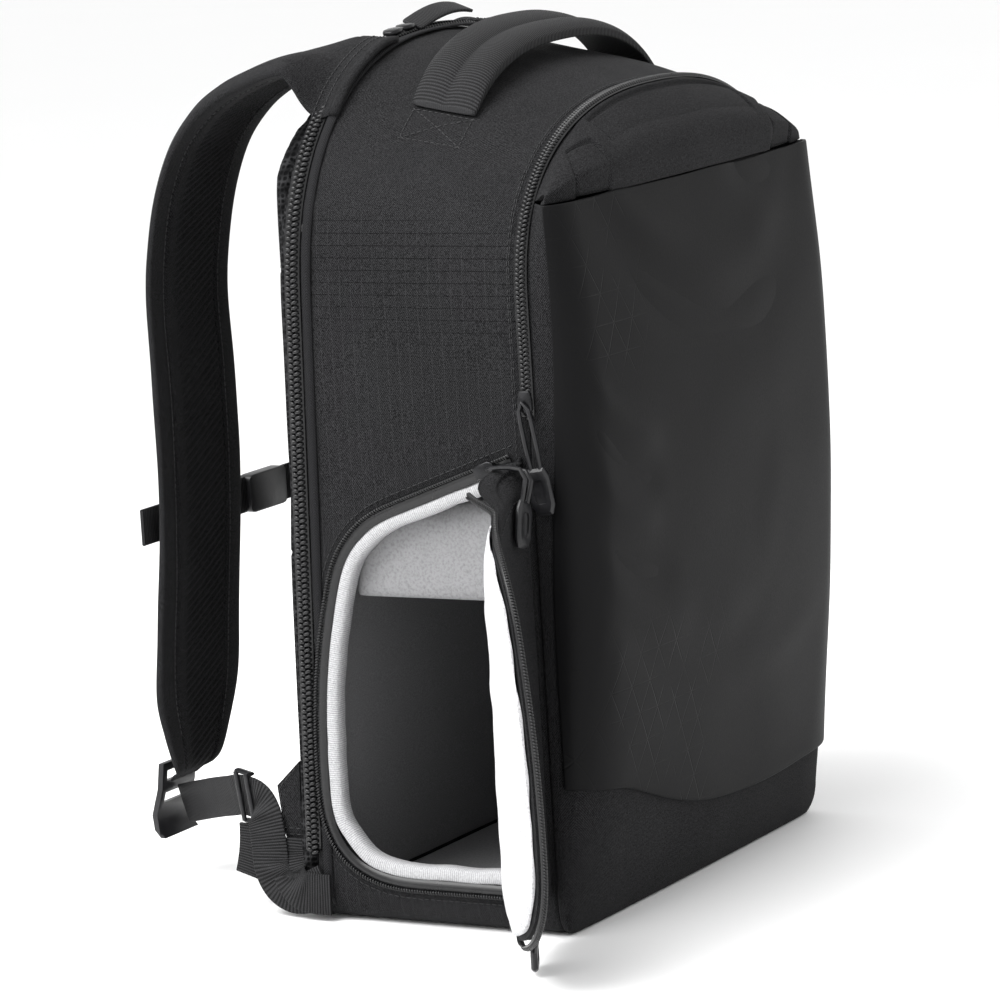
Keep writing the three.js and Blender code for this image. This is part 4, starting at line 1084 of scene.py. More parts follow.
class Maker:
    """Collects the faces of a piece that is built point by point."""

    def __init__(self) -> None:
        """Starts empty."""
        self.points: list[np.ndarray] = []
        self.faces: list[tuple[int, ...]] = []
        self.across: list[tuple[float, float]] = []
        self.slots: list[int] = []
        self.count = 0

    def add(
        self, points: np.ndarray, faces: Iterable[Sequence[int]], uv: Optional[np.ndarray], slot: int
    ) -> None:
        """Adds points and faces.

        Args:
            points: array of n by 3.
            faces: faces by their points.
            uv: coordinates of each point across and along, in metres.
            slot: number of the finish.
        """
        self.lay(faces, uv, slot)
        self.points.append(points)
        self.count += len(points)

    def strip(
        self,
        line: Sequence[Vector],
        outs: Sequence[Vector],
        section: Sequence[tuple[float, float]],
        slot: int = 0,
        closed: bool = False,
        open_section: bool = False,
    ) -> None:
        """Sweeps a section along a line.

        Args:
            line: points of the line.
            outs: direction out of the surface at each point.
            section: points of the section, as distances across the line and out of the surface.
            slot: number of the finish.
            closed: whether the line's end meets its start.
            open_section: whether the section is an open line.
        """
        place, _, across, out = axes(line, outs)
        count, size = len(line), len(section)
        shape = np.array(section)
        points = place[:, None] + across[:, None] * shape[None, :, :1] + out[:, None] * shape[None, :, 1:]
        girth = np.concatenate([[0.0], np.cumsum(np.linalg.norm(np.diff(shape, axis=0), axis=1))])
        length = np.concatenate([[0.0], np.cumsum(np.linalg.norm(np.diff(place, axis=0), axis=1))])
        uv = np.stack([np.tile(girth, count), np.repeat(length, size)], axis=1)
        last = size - 1 if open_section else size
        faces = []
        for i in range(count if closed else count - 1):
            for j in range(last):
                a, b = i * size + j, i * size + (j + 1) % size
                c, d = ((i + 1) % count) * size + (j + 1) % size, ((i + 1) % count) * size + j
                faces.append((a, b, c, d))
        if not closed and not open_section:
            faces.append(tuple(range(size))[::-1])
            faces.append(tuple((count - 1) * size + j for j in range(size)))
        self.add(points.reshape(-1, 3), faces, uv, slot)

    def grid(
        self, rings: np.ndarray, uv: Optional[np.ndarray] = None, slots: Optional[Sequence[int]] = None
    ) -> None:
        """Closed body through rings of points.

        Args:
            rings: array of rings by points by 3.
            uv: coordinates of each point across and along, in metres.
            slots: number of the finish for each place round a ring.
        """
        count, size = rings.shape[:2]
        points = rings.reshape(-1, 3)
        for j in range(size):
            k = (j + 1) % size
            starts = range(0, (count - 1) * size, size)
            faces = [(s + j, s + k, s + size + k, s + size + j) for s in starts]
            self.lay(faces, uv, slots[j] if slots else 0)
        for first in (0, (count - 1) * size):
            self.lay([tuple(first + j for j in range(size))], uv, slots[0] if slots else 0)
        self.points.append(points)
        self.count += len(points)

    def lay(self, faces: Iterable[Sequence[int]], uv: Optional[np.ndarray], slot: int) -> None:
        """Adds faces over points that follow.

        Args:
            faces: faces by their points.
            uv: coordinates of each point across and along, in metres.
            slot: number of the finish.
        """
        for face in faces:
            self.faces.append(tuple(self.count + i for i in face))
            self.across.extend((0.0, 0.0) if uv is None else tuple(uv[i]) for i in face)
            self.slots.append(slot)

    def repeat(
        self,
        line: Sequence[Vector],
        outs: Sequence[Vector],
        shape: np.ndarray,
        faces: list[tuple[int, ...]],
        slot: int = 0,
    ) -> None:
        """Puts one small shape at every point of a line.

        Args:
            line: points of the line.
            outs: direction out of the surface at each point.
            shape: points of the shape along, across and out.
            faces: its faces.
            slot: number of the finish.
        """
        place, along, across, out = axes(line, outs)
        points = (
            place[:, None]
            + along[:, None] * shape[None, :, :1]
            + across[:, None] * shape[None, :, 1:2]
            + out[:, None] * shape[None, :, 2:]
        )
        size = len(shape)
        every = [tuple(i * size + k for k in face) for i in range(len(line)) for face in faces]
        self.add(points.reshape(-1, 3), every, None, slot)

    def piece(self, name: str, *finishes: Finish, angle: float = 180.0) -> Piece:
        """Turns what was collected into a piece.

        Args:
            name: name of the piece.
            finishes: its finishes.
            angle: least angle of a sharp edge, in degrees.

        Returns:
            The piece.
        """
        mesh = bpy.data.meshes.new(name)
        mesh.from_pydata(np.concatenate(self.points).tolist(), [], self.faces)
        layer = mesh.uv_layers.new(name="metres")
        layer.data.foreach_set("uv", np.array(self.across).ravel())
        mesh.polygons.foreach_set("material_index", self.slots)
        work = bmesh.new()
        work.from_mesh(mesh)
        bmesh.ops.recalc_face_normals(work, faces=work.faces)
        work.to_mesh(mesh)
        work.free()
        return Piece(name, mesh, *finishes).shade(angle)


def axes(line: Sequence[Vector], outs: Sequence[Vector]) -> tuple[np.ndarray, ...]:
    """Directions along a line.

    Args:
        line: its points.
        outs: direction out of the surface at each point.

    Returns:
        Places, and unit vectors along, across and out.
    """
    place = np.array([tuple(p) for p in line])
    along = np.gradient(place, axis=0)
    along /= np.maximum(np.linalg.norm(along, axis=1, keepdims=True), 1e-12)
    out = np.array([tuple(o) for o in outs])
    out -= along * np.sum(out * along, axis=1, keepdims=True)
    out /= np.maximum(np.linalg.norm(out, axis=1, keepdims=True), 1e-12)
    return place, along, np.cross(out, along), out


def prism(rings: Sequence[tuple[float, ...]], sides: int) -> tuple[np.ndarray, list[tuple[int, ...]]]:
    """Small body through rings.

    Args:
        rings: for each ring its place along, across and out, and its radii along the line and out of
            the surface.
        sides: number of sides.

    Returns:
        Points along, across and out, and faces.
    """
    points, faces = [], []
    for along, across, out, wide, tall in rings:
        for k in range(sides):
            turn = 2.0 * math.pi * k / sides
            points.append((along + wide * math.cos(turn), across, out + tall * math.sin(turn)))
    for r in range(len(rings) - 1):
        for k in range(sides):
            a, b = r * sides + k, r * sides + (k + 1) % sides
            faces.append((a, b, b + sides, a + sides))
    faces.append(tuple(range(sides))[::-1])
    faces.append(tuple((len(rings) - 1) * sides + k for k in range(sides)))
    return np.array(points), faces


@dataclass(frozen=True)
class Coil:
    """Coil zip: two tapes with rows of teeth, or one tape with one row where the zip is open."""

    pitch: float = 0.0017
    reach: float = 0.0022
    thick: float = 0.00062
    tall: float = 0.0009
    tape: float = 0.0048
    both: bool = True

    def build(
        self, maker: Maker, line: Sequence[Vector], out: Callable[[Vector], Vector], side: float = 1.0
    ) -> None:
        """Adds the zip along a line.

        Args:
            maker: collects its faces; slot 0 is the coil and slot 1 the tape.
            line: middle line, on top of the tape.
            out: direction out of the surface at a point.
            side: side of the line that the tape of an open zip lies on.
        """
        spots = resample(line, self.pitch)
        outs = [out(p) for p in spots]
        base = resample(line, 0.004)
        edge = self.tape if self.both else self.tape * 0.5
        low = -self.tape if self.both else -self.reach
        flat = [(low, 0.0), (low, -0.0005), (edge, -0.0005), (edge, 0.0)]
        if not self.both:
            flat = [(a * side, o) for a, o in flat]
        maker.strip(base, [out(p) for p in base], flat, slot=1)
        for hand in (1.0, -1.0) if self.both else (side,):
            slant = 0.00045
            shift = self.pitch * 0.25 * hand if self.both else 0.0
            inner, outer = (-0.0004, self.reach) if self.both else (-self.reach, self.reach * 0.6)
            near, far = (mix(inner, outer, share) * hand for share in (0.25, 0.75))
            shape, faces = prism(
                [
                    (shift - slant, inner * hand, self.tall * 0.5, self.thick * 0.7, self.tall * 0.6),
                    (shift - slant * 0.4, near, self.tall * 0.9, self.thick, self.tall),
                    (shift + slant * 0.6, far, self.tall * 0.8, self.thick, self.tall),
                    (shift + slant, outer * hand, self.tall * 0.1, self.thick * 0.6, self.tall * 0.5),
                ],
                6,
            )
            maker.repeat(spots, outs, shape, faces, slot=0)


@dataclass(frozen=True)
class Stitches:
    """Row of lockstitches."""

    length: float = 0.0026
    pitch: float = 0.0033
    radius: float = 0.00026

    def build(self, maker: Maker, spots: Sequence[Vector], outs: Sequence[Vector]) -> None:
        """Adds one stitch at each point of a line.

        Args:
            maker: collects the faces.
            spots: places on the cloth.
            outs: directions out of the cloth there.
        """
        half = self.length / 2.0
        shape, faces = prism(
            [
                (0.0, -half, -self.radius, self.radius * 0.5, self.radius * 0.5),
                (0.0, -half * 0.6, self.radius * 0.5, self.radius, self.radius),
                (0.0, half * 0.6, self.radius * 0.5, self.radius, self.radius),
                (0.0, half, -self.radius, self.radius * 0.5, self.radius * 0.5),
            ],
            5,
        )
        maker.repeat(spots, outs, shape[:, [1, 0, 2]], faces)


def on_surface(tree: BVHTree, points: Sequence[Vector], lift: float) -> tuple[list[Vector], list[Vector]]:
    """Puts points on a surface."""
    found = [tree.find_nearest(p) for p in points]
    return [hit[0] + hit[1] * lift for hit in found], [hit[1] for hit in found]


def stitched(name: str, rows: Sequence[Sequence[Vector]], tree: BVHTree) -> Piece:
    """Stitches on a surface.

    Args:
        name: name of the piece.
        rows: lines near the surface.
        tree: search tree of the surface.

    Returns:
        The piece, in the frame.
    """
    maker, stitches = Maker(), Stitches()
    for row in rows:
        stitches.build(maker, *on_surface(tree, resample(row, stitches.pitch), 0.0001))
    return maker.piece(name, Finish.THREAD).stand_for("twill")


def uneven(point: Vector, size: float, seed: float = 0.0) -> float:
    """Smooth noise."""
    return noise.noise(point / size + Vector((seed, seed * 1.7, -seed)))


def spline(rows: Sequence[Sequence[float]], per: int = 12) -> np.ndarray:
    """Smooth curve through rows of numbers.

    Args:
        rows: the rows that it runs through.
        per: number of steps between two rows.

    Returns:
        Array of the curve's rows.
    """
    table = np.array([[*map(float, row)] for row in rows])
    padded = np.vstack([2.0 * table[0] - table[1], table, 2.0 * table[-1] - table[-2]])
    parts = []
    for i in range(len(table) - 1):
        a, b, c, d = padded[i : i + 4]
        t = np.linspace(0.0, 1.0, per, endpoint=False)[:, None]
        bend = (2.0 * a - 5.0 * b + 4.0 * c - d) * t**2 + (3.0 * (b - c) + d - a) * t**3
        parts.append(0.5 * (2.0 * b + (c - a) * t + bend))
    return np.vstack([*parts, table[-1:]])


def oval(wide: float, tall: float, sides: int) -> list[tuple[float, float]]:
    """Section of a rod, as points across and out."""
    turns = [2.0 * math.pi * k / sides for k in range(sides)]
    return [(wide * math.cos(turn), tall * math.sin(turn)) for turn in turns]


def vectors(rows: np.ndarray) -> list[Vector]:
    """Points from an array."""
    return [Vector(row) for row in rows]


@dataclass
class MainCompartment:
    """Shell, back panel, back zip and divider."""

    voxel: float = 0.0032
    back_voxel: float = 0.005
    divider_voxel: float = 0.0035
    wall: float = 0.0042
    shell: Optional[Piece] = None

    def build(self) -> None:
        """Builds the pieces."""
        self.shell = self.make_shell()
        self.make_back()
        self.make_back_zip()
        self.make_divider()

    def make_shell(self) -> Piece:
        """Builds the padded shell.

        Returns:
            The piece.
        """

        def puff(p: Vector) -> float:
            """Slight unevenness of the padded cloth."""
            calm = smooth_step(0.0, 0.02, p.z)
            return calm * (uneven(p, 0.06) * 0.0011 + uneven(p, 0.022, 3.0) * 0.00035)

        def inner(middles: np.ndarray, _: np.ndarray) -> np.ndarray:
            """Faces on the inside.

            Args:
                middles: middles of the faces.

            Returns:
                Which faces are meant.
            """
            x, y, z = middles.T
            crown = np.array([FORM.crown_at(*spot) for spot in zip(x, y)])
            level = (z > 0.004) & (z < crown - 0.0045)
            return level & (np.abs(x) < FORM.half - self.wall) & (y > FORM.front_y + 0.0035)

        piece = Piece.of_node("main_shell", "shell_cloth", Finish.RIPSTOP, Finish.PALE)
        piece.remesh(self.voxel, 3).swell(puff).paint(inner).shade()
        return piece.stand_for("twill", "main_shell", fill=0.5)

    def make_back(self) -> None:
        """Builds the back panel and its pads."""
        panel = Piece.of_node("back_panel", "back_panel_cloth", Finish.BACK_MESH, Finish.INSIDE)
        panel.remesh(self.back_voxel, 2).swell(lambda p: uneven(p, 0.05, 5.0) * 0.0006)
        panel.paint(lambda m, n: (n[:, 1] < -0.5) & (np.abs(m[:, 0]) < 0.126) & (m[:, 2] > 0.008))
        panel.shade().stand_for("mesh", "back_panel", fill=0.6)
        for side in ("left", "right"):
            for part in ("upper", "lower"):
                node = f"back_pad_{part}_{side}"
                pad = Piece.of_node(node, f"{node}_cloth", Finish.BACK_MESH)
                pad.remesh(self.back_voxel, 2)
                pad.inflate(2.0, 0.002, 30.0).subdivide(1).shade().stand_for("mesh", node, fill=0.7)

    @staticmethod
    def make_back_zip() -> None:
        """Builds the zip along the back edge with its tape."""
        maker = Maker()
        line = FORM.rim(1.0, 0.034, 0.0002)
        coil = Coil(pitch=0.0026, reach=0.0033, thick=0.0011, tall=0.0013, tape=0.0042)
        coil.build(maker, line, FORM.away_from_middle)
        maker.piece("back_zip_coil", Finish.COIL, Finish.TAPE).stand_for("coil", "back_zip")
        tape = Maker()
        edge = resample(FORM.rim(1.0, 0.012, 0.0005, -0.0078), 0.003)
        slope = [(-0.0025, -0.0006), (-0.0023, 0.0003)]
        section = [*slope, (0.0, 0.0007), *((-a, o) for a, o in slope[::-1])]
        tape.strip(edge, [FORM.away_from_middle(p) for p in edge], section)
        tape.piece("back_edge_tape", Finish.TAPE).stand_for("twill")

    def make_divider(self) -> None:
        """Builds the padded divider."""
        piece = Piece.of_node("divider", "divider_cloth", Finish.PALE).remesh(self.divider_voxel, 3)
        piece.inflate(3.0, 0.0012, 40.0).shade().stand_for("lining", "divider", fill=0.6)


@dataclass(frozen=True)
class Sag:
    """One soft fold of the front panel, which hangs in a curve."""

    middle: float
    height: float
    bend: float
    width: float
    rise: float
    low: float
    high: float

    def at(self, x: float, z: float) -> float:
        """Lift of the cloth.

        Args:
            x: place along X.
            z: height.

        Returns:
            Distance along the normal.
        """
        off = (z - self.height - self.bend * (x - self.middle) ** 2) / self.width
        fade = (self.high - self.low) * 0.3
        ease = smooth_step(self.low, self.low + fade, x) * smooth_step(self.high, self.high - fade, x)
        return self.rise * ease * math.exp(-off * off)


@dataclass
class FrontPocket:
    """Pocket, smooth panel, lid and zip."""

    sags: tuple[Sag, ...] = (
        Sag(0.010, 0.300, 5.0, 0.013, 0.0013, -0.132, 0.118),
        Sag(0.015, 0.272, 4.2, 0.017, -0.0012, -0.125, 0.112),
        Sag(0.020, 0.236, 3.2, 0.020, 0.0008, -0.100, 0.110),
        Sag(-0.060, 0.226, 9.0, 0.008, 0.0013, -0.134, -0.060),
        Sag(-0.062, 0.207, 9.0, 0.008, -0.0012, -0.134, -0.062),
        Sag(-0.070, 0.190, 9.0, 0.008, 0.0012, -0.134, -0.064),
        Sag(-0.060, 0.163, 7.0, 0.010, -0.0010, -0.134, -0.050),
        Sag(-0.050, 0.138, 6.0, 0.011, 0.0011, -0.132, -0.030),
        Sag(-0.020, 0.116, 4.0, 0.012, -0.0010, -0.130, 0.060),
        Sag(0.020, 0.100, 3.0, 0.011, 0.0010, -0.110, 0.120),
        Sag(0.090, 0.200, -8.0, 0.024, 0.0008, 0.020, 0.130),
        Sag(0.080, 0.332, 8.0, 0.012, -0.0009, 0.010, 0.128),
    )
    softness: float = 0.72
    emboss_depth: float = 0.0015

    def fold(self, point: Vector) -> float:
        """Height of the soft folds."""
        edge = smooth_step(0.1322, 0.119, abs(point.x)) * smooth_step(0.3705, 0.355, point.z)
        return sum(sag.at(point.x, point.z) for sag in self.sags) * edge * self.softness

    def build(self, tree: BVHTree) -> None:
        """Builds the pieces.

        Args:
            tree: search tree of the shell.
        """
        pocket = Piece.of_node("front_pocket", "pocket_cloth", Finish.TWILL).quads().subdivide(2)
        pocket.swell(lambda p: uneven(p, 0.03, 9.0) * 0.0005 if p.y < -0.066 else 0.0)
        pocket.shade().stand_for("twill", "front_pocket")
        panel = Piece.of_node("front_panel", "front_panel_cloth", Finish.COATED).quads().subdivide(3)
        panel.swell(lambda p: self.fold(p) + uneven(p, 0.05, 2.0) * 0.0005)
        panel.shade(60.0).stand_for("coated", "front_panel")
        lid = Piece.of_node("front_lid", "lid_cloth", Finish.TWILL).quads().subdivide(4)
        lid.swell(self.emboss)
        lid.shade(60.0).stand_for("twill", "front_lid")
        maker = Maker()
        line = FORM.rim(0.0, 0.247, 0.0004)
        coil = Coil(pitch=0.0021, reach=0.0026, thick=0.00085, tape=0.0034)
        coil.build(maker, line, FORM.away_from_middle)
        maker.piece("front_zip_coil", Finish.COIL, Finish.TAPE).stand_for("coil", "front_zip")
        seams = [FORM.rim(0.0, 0.245, 0.0, 0.0062), FORM.rim(0.0, 0.02, 0.0, 0.0072)]
        stitched("front_zip_stitches", seams, tree)

    def emboss(self, point: Vector) -> float:
        """Depth of the shapes pressed into the lid.

        Args:
            point: point of the lid.

        Returns:
            Distance along the normal.
        """
        if point.y > FORM.front_y - 0.0015:
            return 0.0
        across, down = abs(point.x), (FORM.front_y - point.y) / 0.026
        arc = 0.17 + 5.0 * across * across
        middle = smooth_step(0.0735, 0.0712, across) * smooth_step(arc, arc + 0.06, down)
        middle *= smooth_step(0.86, 0.62, down)
        top = mix(0.3, 0.5, min(max((0.100 - across) / 0.018, 0.0), 1.0))
        side = mix(0.112, 0.100, min(max((0.78 - down) / 0.45, 0.0), 1.0))
        wing = smooth_step(side + 0.0012, side - 0.0012, across) * smooth_step(0.082, 0.0855, across)
        wing *= smooth_step(top, top + 0.07, down) * smooth_step(0.98, 0.8, down)
        return -self.emboss_depth * max(middle, wing) + uneven(point, 0.04, 4.0) * 0.0003


@dataclass
class SideDoor:
    """Doorway, its zip and binding, and the open door."""

    rows: int = 96
    columns: int = 44
    skin_x: float = -0.1336
    zip_margin: float = 0.0014
    stitch_margin: float = -0.0028
    binding_margin: float = 0.0098
    binding: tuple[tuple[float, float], ...] = (
        (-0.0032, -0.004),
        (-0.0032, 0.0004),
        (-0.0024, 0.0011),
        (0.0, 0.0012),
        (0.0022, 0.0009),
        (0.0031, 0.0),
        (0.0034, -0.0016),
        (0.0033, -0.0062),
        (0.0026, -0.0066),
    )
    flap_margin: float = 0.0039
    seam_margin: float = 0.0108
    lining_start: float = 0.0065
    lining_margin: float = 0.0062
    lining_lift: float = -0.0008
    pad: float = 0.0042

    def build(self, tree: BVHTree) -> None:
        """Builds the pieces.

        Args:
            tree: search tree of the shell.
        """
        maker = Maker()
        coil = Coil(pitch=0.00145, reach=0.0012, thick=0.00055, tall=0.0008, tape=0.0112, both=False)
        line = DOOR.around(self.zip_margin, self.skin_x - 0.0014)
        coil.build(maker, line, lambda _spot: Vector((-1.0, 0.0, 0.0)), side=-1.0)
        maker.piece("opening_zip_coil", Finish.COIL, Finish.TAPE).stand_for("coil", "opening_zip")
        self.make_binding()
        self.make_flap()
        self.make_lining()
        self.make_door_zip()
        stitched("opening_stitches", [DOOR.around(self.stitch_margin, self.skin_x)], tree)

    def make_binding(self) -> None:
        """Builds the pale tape round the doorway."""
        maker = Maker()
        flat = resample(DOOR.around(self.binding_margin, self.skin_x, whole=True), 0.0018)[:-1]
        middle = sum(flat, Vector((0.0, 0.0, 0.0))) / len(flat)
        line = [p + (middle - p).normalized() * uneven(p, 0.014, 6.0) * 0.0011 for p in flat]
        outs = [Vector((-1.0, 0.0, 0.0))] * len(line)
        across = axes(line, outs)[2]
        inwards = 1.0 if float(across[0] @ np.array(middle - line[0])) > 0.0 else -1.0
        maker.strip(line, outs, [(a * inwards, o) for a, o in self.binding], closed=True)
        maker.piece("doorway_binding", Finish.GROSGRAIN).stand_for("lining", "opening_binding")

    def sheet(self, start: float, margin: float, top: float, near: Lift, far: Lift) -> Maker:
        """Body in the form of the door between two lifts.

        Args:
            start: least distance from the hinge.
            margin: distance from the door's edge.
            top: share of the height where it ends.
            near: lift of one face, by the distances from the nearest edge and from the free edge.
            far: lift of the other face.

        Returns:
            Its faces.
        """
        low, high = DOOR.sill + margin, mix(DOOR.sill, DOOR.sill + DOOR.height - margin, top)
        rings = []
        for i in range(self.rows + 1):
            z = mix(low, high, 0.5 - 0.5 * math.cos(math.pi * i / self.rows))
            reach = max(DOOR.reach_at(z, margin), start + 0.002)
            ring = []
            for face, order in ((near, range(self.columns + 1)), (far, range(self.columns, -1, -1))):
                for j in order:
                    share = 0.5 - 0.5 * math.cos(math.pi * j / self.columns)
                    place = mix(start, reach, share)
                    edge = min(place - start, reach - place, z - low, high - z)
                    ring.append(DOOR.point(place, z, face(max(edge, 0.0), reach - place)))
            rings.append([tuple(p) for p in ring])
        maker = Maker()
        maker.grid(np.array(rings))
        return maker

    def make_flap(self) -> None:
        """Builds the outer cloth of the door, with a rolled edge."""

        def face(edge: float, off: float) -> float:
            """Lift of the outer face, with its rounded edge, roll and seam.

            Args:
                edge: distance from the nearest edge.
                off: distance from the free edge.

            Returns:
                Distance off the door's inner face.
            """
            roll = 0.0013 * math.exp(-(((off - 0.0065) / 0.0026) ** 2))
            seam = -0.0009 * math.exp(-(((off - 0.0108) / 0.0011) ** 2))
            return 0.0014 + 0.0016 * smooth_step(0.0, 0.0022, edge) + roll + seam

        flap = self.sheet(0.0, self.flap_margin, 1.0, lambda _edge, _off: 0.0, face)
        piece = flap.piece("door_cloth", Finish.TWILL, angle=60.0)
        piece.swell(lambda p: uneven(p, 0.03, 7.0) * 0.0006).stand_for("twill", "door_flap")
        row = DOOR.free_edge(self.flap_margin + self.seam_margin, 0.004, 0.01)
        stitched("door_stitches", [row], piece.tree())

    def make_lining(self) -> None:
        """Builds the door's padded lining."""

        def far(edge: float, _: float) -> float:
            """Lift of the padded face."""
            crowned = 1.0 - math.exp(-edge / 0.007)
            return self.lining_lift - mix(0.0009, self.pad, crowned)

        start, margin = self.lining_start, self.lining_margin
        lining = self.sheet(start, margin, 0.9, lambda _edge, _off: self.lining_lift, far)
        piece = lining.piece("door_fleece", Finish.FLEECE, angle=70.0)
        piece.swell(lambda p: uneven(p, 0.016, 8.0) * 0.0011).stand_for("lining", "door_lining", fill=0.6)

    @staticmethod
    def make_door_zip() -> None:
        """Builds the coil along the door's free edge."""
        maker = Maker()
        middle = Vector((-0.1338, -0.056, 0.12))

        def outward(point: Vector) -> Vector:
            """Direction out of the door's edge."""
            return (point - middle).normalized()

        coil = Coil(pitch=0.00145, reach=0.0013, thick=0.00055, tall=0.0009, tape=0.0034, both=False)
        coil.build(maker, DOOR.free_edge(0.0006, 0.0015), outward)
        maker.piece("door_zip_coil", Finish.COIL, Finish.TAPE).stand_for("coil", "door_zip")


@dataclass
class ShoulderStraps:
    """Padded straps with a twill border and a mesh panel on the side that rests on the wearer."""

    width: float = 0.070
    end_width: float = 0.040
    spread: float = 0.075
    thickness: float = 0.010
    reach: float = 0.100
    seat: float = 0.0019
    border: float = 0.63
    strip_edge: float = 0.40
    rib: float = 0.0042
    slant: float = 0.55
    path: tuple[tuple[float, float, float, float, float], ...] = (
        (-0.08, 0.983, 0.65, 1.0, 0.3),
        (0.02, 0.985, 0.75, 1.0, 0.33),
        (0.1, 0.992, 0.9, 0.75, 0.6),
        (0.2, 0.995, 1.0, 0.25, 0.9),
        (0.32, 0.99, 1.0, 0.05, 1.0),
        (0.45, 0.979, 1.0, 0.0, 1.0),
        (0.59, 0.964, 1.0, 0.0, 1.0),
        (0.74, 0.939, 1.0, 0.0, 1.0),
        (0.885, 0.898, 1.0, 0.0, 1.0),
        (0.99, 0.843, 1.0, 0.0, 1.0),
        (1.055, 0.782, 1.0, 0.0, 1.0),
        (1.09, 0.714, 1.0, 0.0, 1.0),
        (1.09, 0.613, 1.0, 0.0, 1.0),
        (1.095, 0.504, 1.0, 0.0, 1.0),
        (1.12, 0.407, 1.0, 0.0, 1.0),
        (1.165, 0.31, 1.0, 0.0, 1.0),
        (1.195, 0.235, 0.95, 0.0, 1.0),
        (1.2, 0.184, 0.5, 0.0, 0.9),
        (1.2, 0.145, 0.0, 0.0, 0.7),
        (1.215, 0.133, -0.5, 0.0, 0.3),
        (1.245, 0.128, -0.5, 0.0, 0.3),
    )

    def build(self) -> None:
        """Builds both straps."""
        for side, hand in (("left", -1.0), ("right", 1.0)):
            self.make_strap(side, hand)

    def outer(self, a: float) -> float:
        """Share of the thickness at the outer face."""
        seam = 0.07 * math.exp(-(((abs(a) - 0.78) / 0.025) ** 2))
        return 0.7 * abs(a) ** 4.5 + seam

    def inner(self, a: float, along: float, half: float) -> float:
        """Share of the thickness at the inner face.

        Args:
            a: place across, from -1 to 1.
            along: distance along the strap.
            half: half width of the strap there.

        Returns:
            Depth from the outermost point.
        """
        off = abs(a)
        groove = 0.15 * math.exp(-(((off - self.border) / 0.028) ** 2))
        if off > self.border:
            share = (off - self.border) / (1.0 - self.border)
            return 0.93 + 0.09 * math.sin(math.pi * min(share * 0.94 + 0.03, 1.0)) ** 0.6 - groove
        crowned = 0.05 * (1.0 - (off / self.border) ** 2)
        ribbed = smooth_step(-self.strip_edge - 0.02, -self.strip_edge + 0.04, a)
        phase = 2.0 * math.pi * (along + self.slant * a * half) / self.rib
        return 0.98 + crowned - groove + 0.045 * ribbed * math.sin(phase)

    def make_strap(self, side: str, hand: float) -> None:
        """Builds one shoulder strap.

        Args:
            side: left or right.
            hand: -1 on the left and 1 on the right.
        """
        back = FORM.back_y(FORM.height)
        crown = FORM.crown_at(self.spread, back)
        top = crown + self.seat + self.thickness
        rows = spline(self.path)
        place = np.stack([back + rows[:, 0] * self.reach, rows[:, 1] * top], axis=1)
        length = np.concatenate([[0.0], np.cumsum(np.linalg.norm(np.diff(place, axis=0), axis=1))])
        wanted = np.linspace(0.0, length[-1], int(length[-1] / (0.00095)))
        y, z = (np.interp(wanted, length, place[:, k]) for k in range(2))
        wide, follow, deep = (np.interp(wanted, length, rows[:, k]) for k in range(2, 5))
        tangent = np.gradient(np.stack([y, z], axis=1), axis=0)
        tangent /= np.linalg.norm(tangent, axis=1, keepdims=True)
        columns = [(a, True) for a in np.linspace(-1.0, 1.0, 29)]
        columns += [(a, False) for a in np.linspace(0.995, -0.995, 61)]
        rings, uv = [], []
        for i, along in enumerate(wanted):
            half = mix(self.end_width, self.width, wide[i]) / 2.0
            ring = []
            for a, outside in columns:
                x = self.spread - a * half
                hug = follow[i] ** (3.0 if x > self.spread else 1.0)
                lift = (FORM.crown_at(x, back) - crown) * hug
                share = self.outer(a) if outside else self.inner(a, along, half)
                depth = share * deep[i] * self.thickness
                ring.append((hand * x, y[i] + tangent[i, 1] * depth, z[i] + lift - tangent[i, 0] * depth))
                uv.append((a * half, along))
            rings.append(ring)
        slots = []
        for a, outside in columns:
            meshed = not outside and abs(a) < self.border - 0.01
            slots.append(0 if not meshed else (1 if a < -self.strip_edge else 2))
        maker = Maker()
        maker.grid(np.array(rings), np.array(uv), slots)
        node = f"shoulder_strap_{side}"
        piece = maker.piece(f"{node}_cloth", Finish.TWILL, Finish.CELL_MESH, Finish.RIB_MESH)
        piece.swell(lambda p: uneven(p, 0.045, 11.0) * 0.0008 * smooth_step(0.052, 0.09, p.y))
        piece.stand_for("twill", node, fill=0.6)
        self.trim(side, np.array(rings), columns, piece.tree())

    def trim(self, side: str, rings: np.ndarray, columns: list[tuple[float, bool]], tree: BVHTree) -> None:
        """Adds the roll at the yoke's end and the seams.

        Args:
            side: left or right.
            rings: the strap's rings.
            columns: place across and face of the points of a ring.
            tree: search tree of the strap.
        """
        outer = [k for k, (_, outside) in enumerate(columns) if outside]
        roll = Maker()
        line = vectors((rings[0][outer] + rings[1][outer]) / 2.0 - np.array([0.0, 0.0, 0.0008]))
        roll.strip(line, [Vector((0.0, 0.0, 1.0))] * len(line), oval(0.0028, 0.0021, 10))
        roll.piece(f"yoke_roll_{side}", Finish.TWILL).stand_for("twill")
        last = int(len(rings) * 0.94)
        seams = []
        for share in (-self.border - 0.05, self.border + 0.05):
            found = min((abs(a - share), k) for k, (a, outside) in enumerate(columns) if not outside)[1]
            seams.append(vectors(rings[12:last, found]))
        for step in (7, 11):
            seams.append(vectors(rings[min(step, len(rings) - 1)][outer]))
        stitched(f"strap_stitches_{side}", seams, tree)


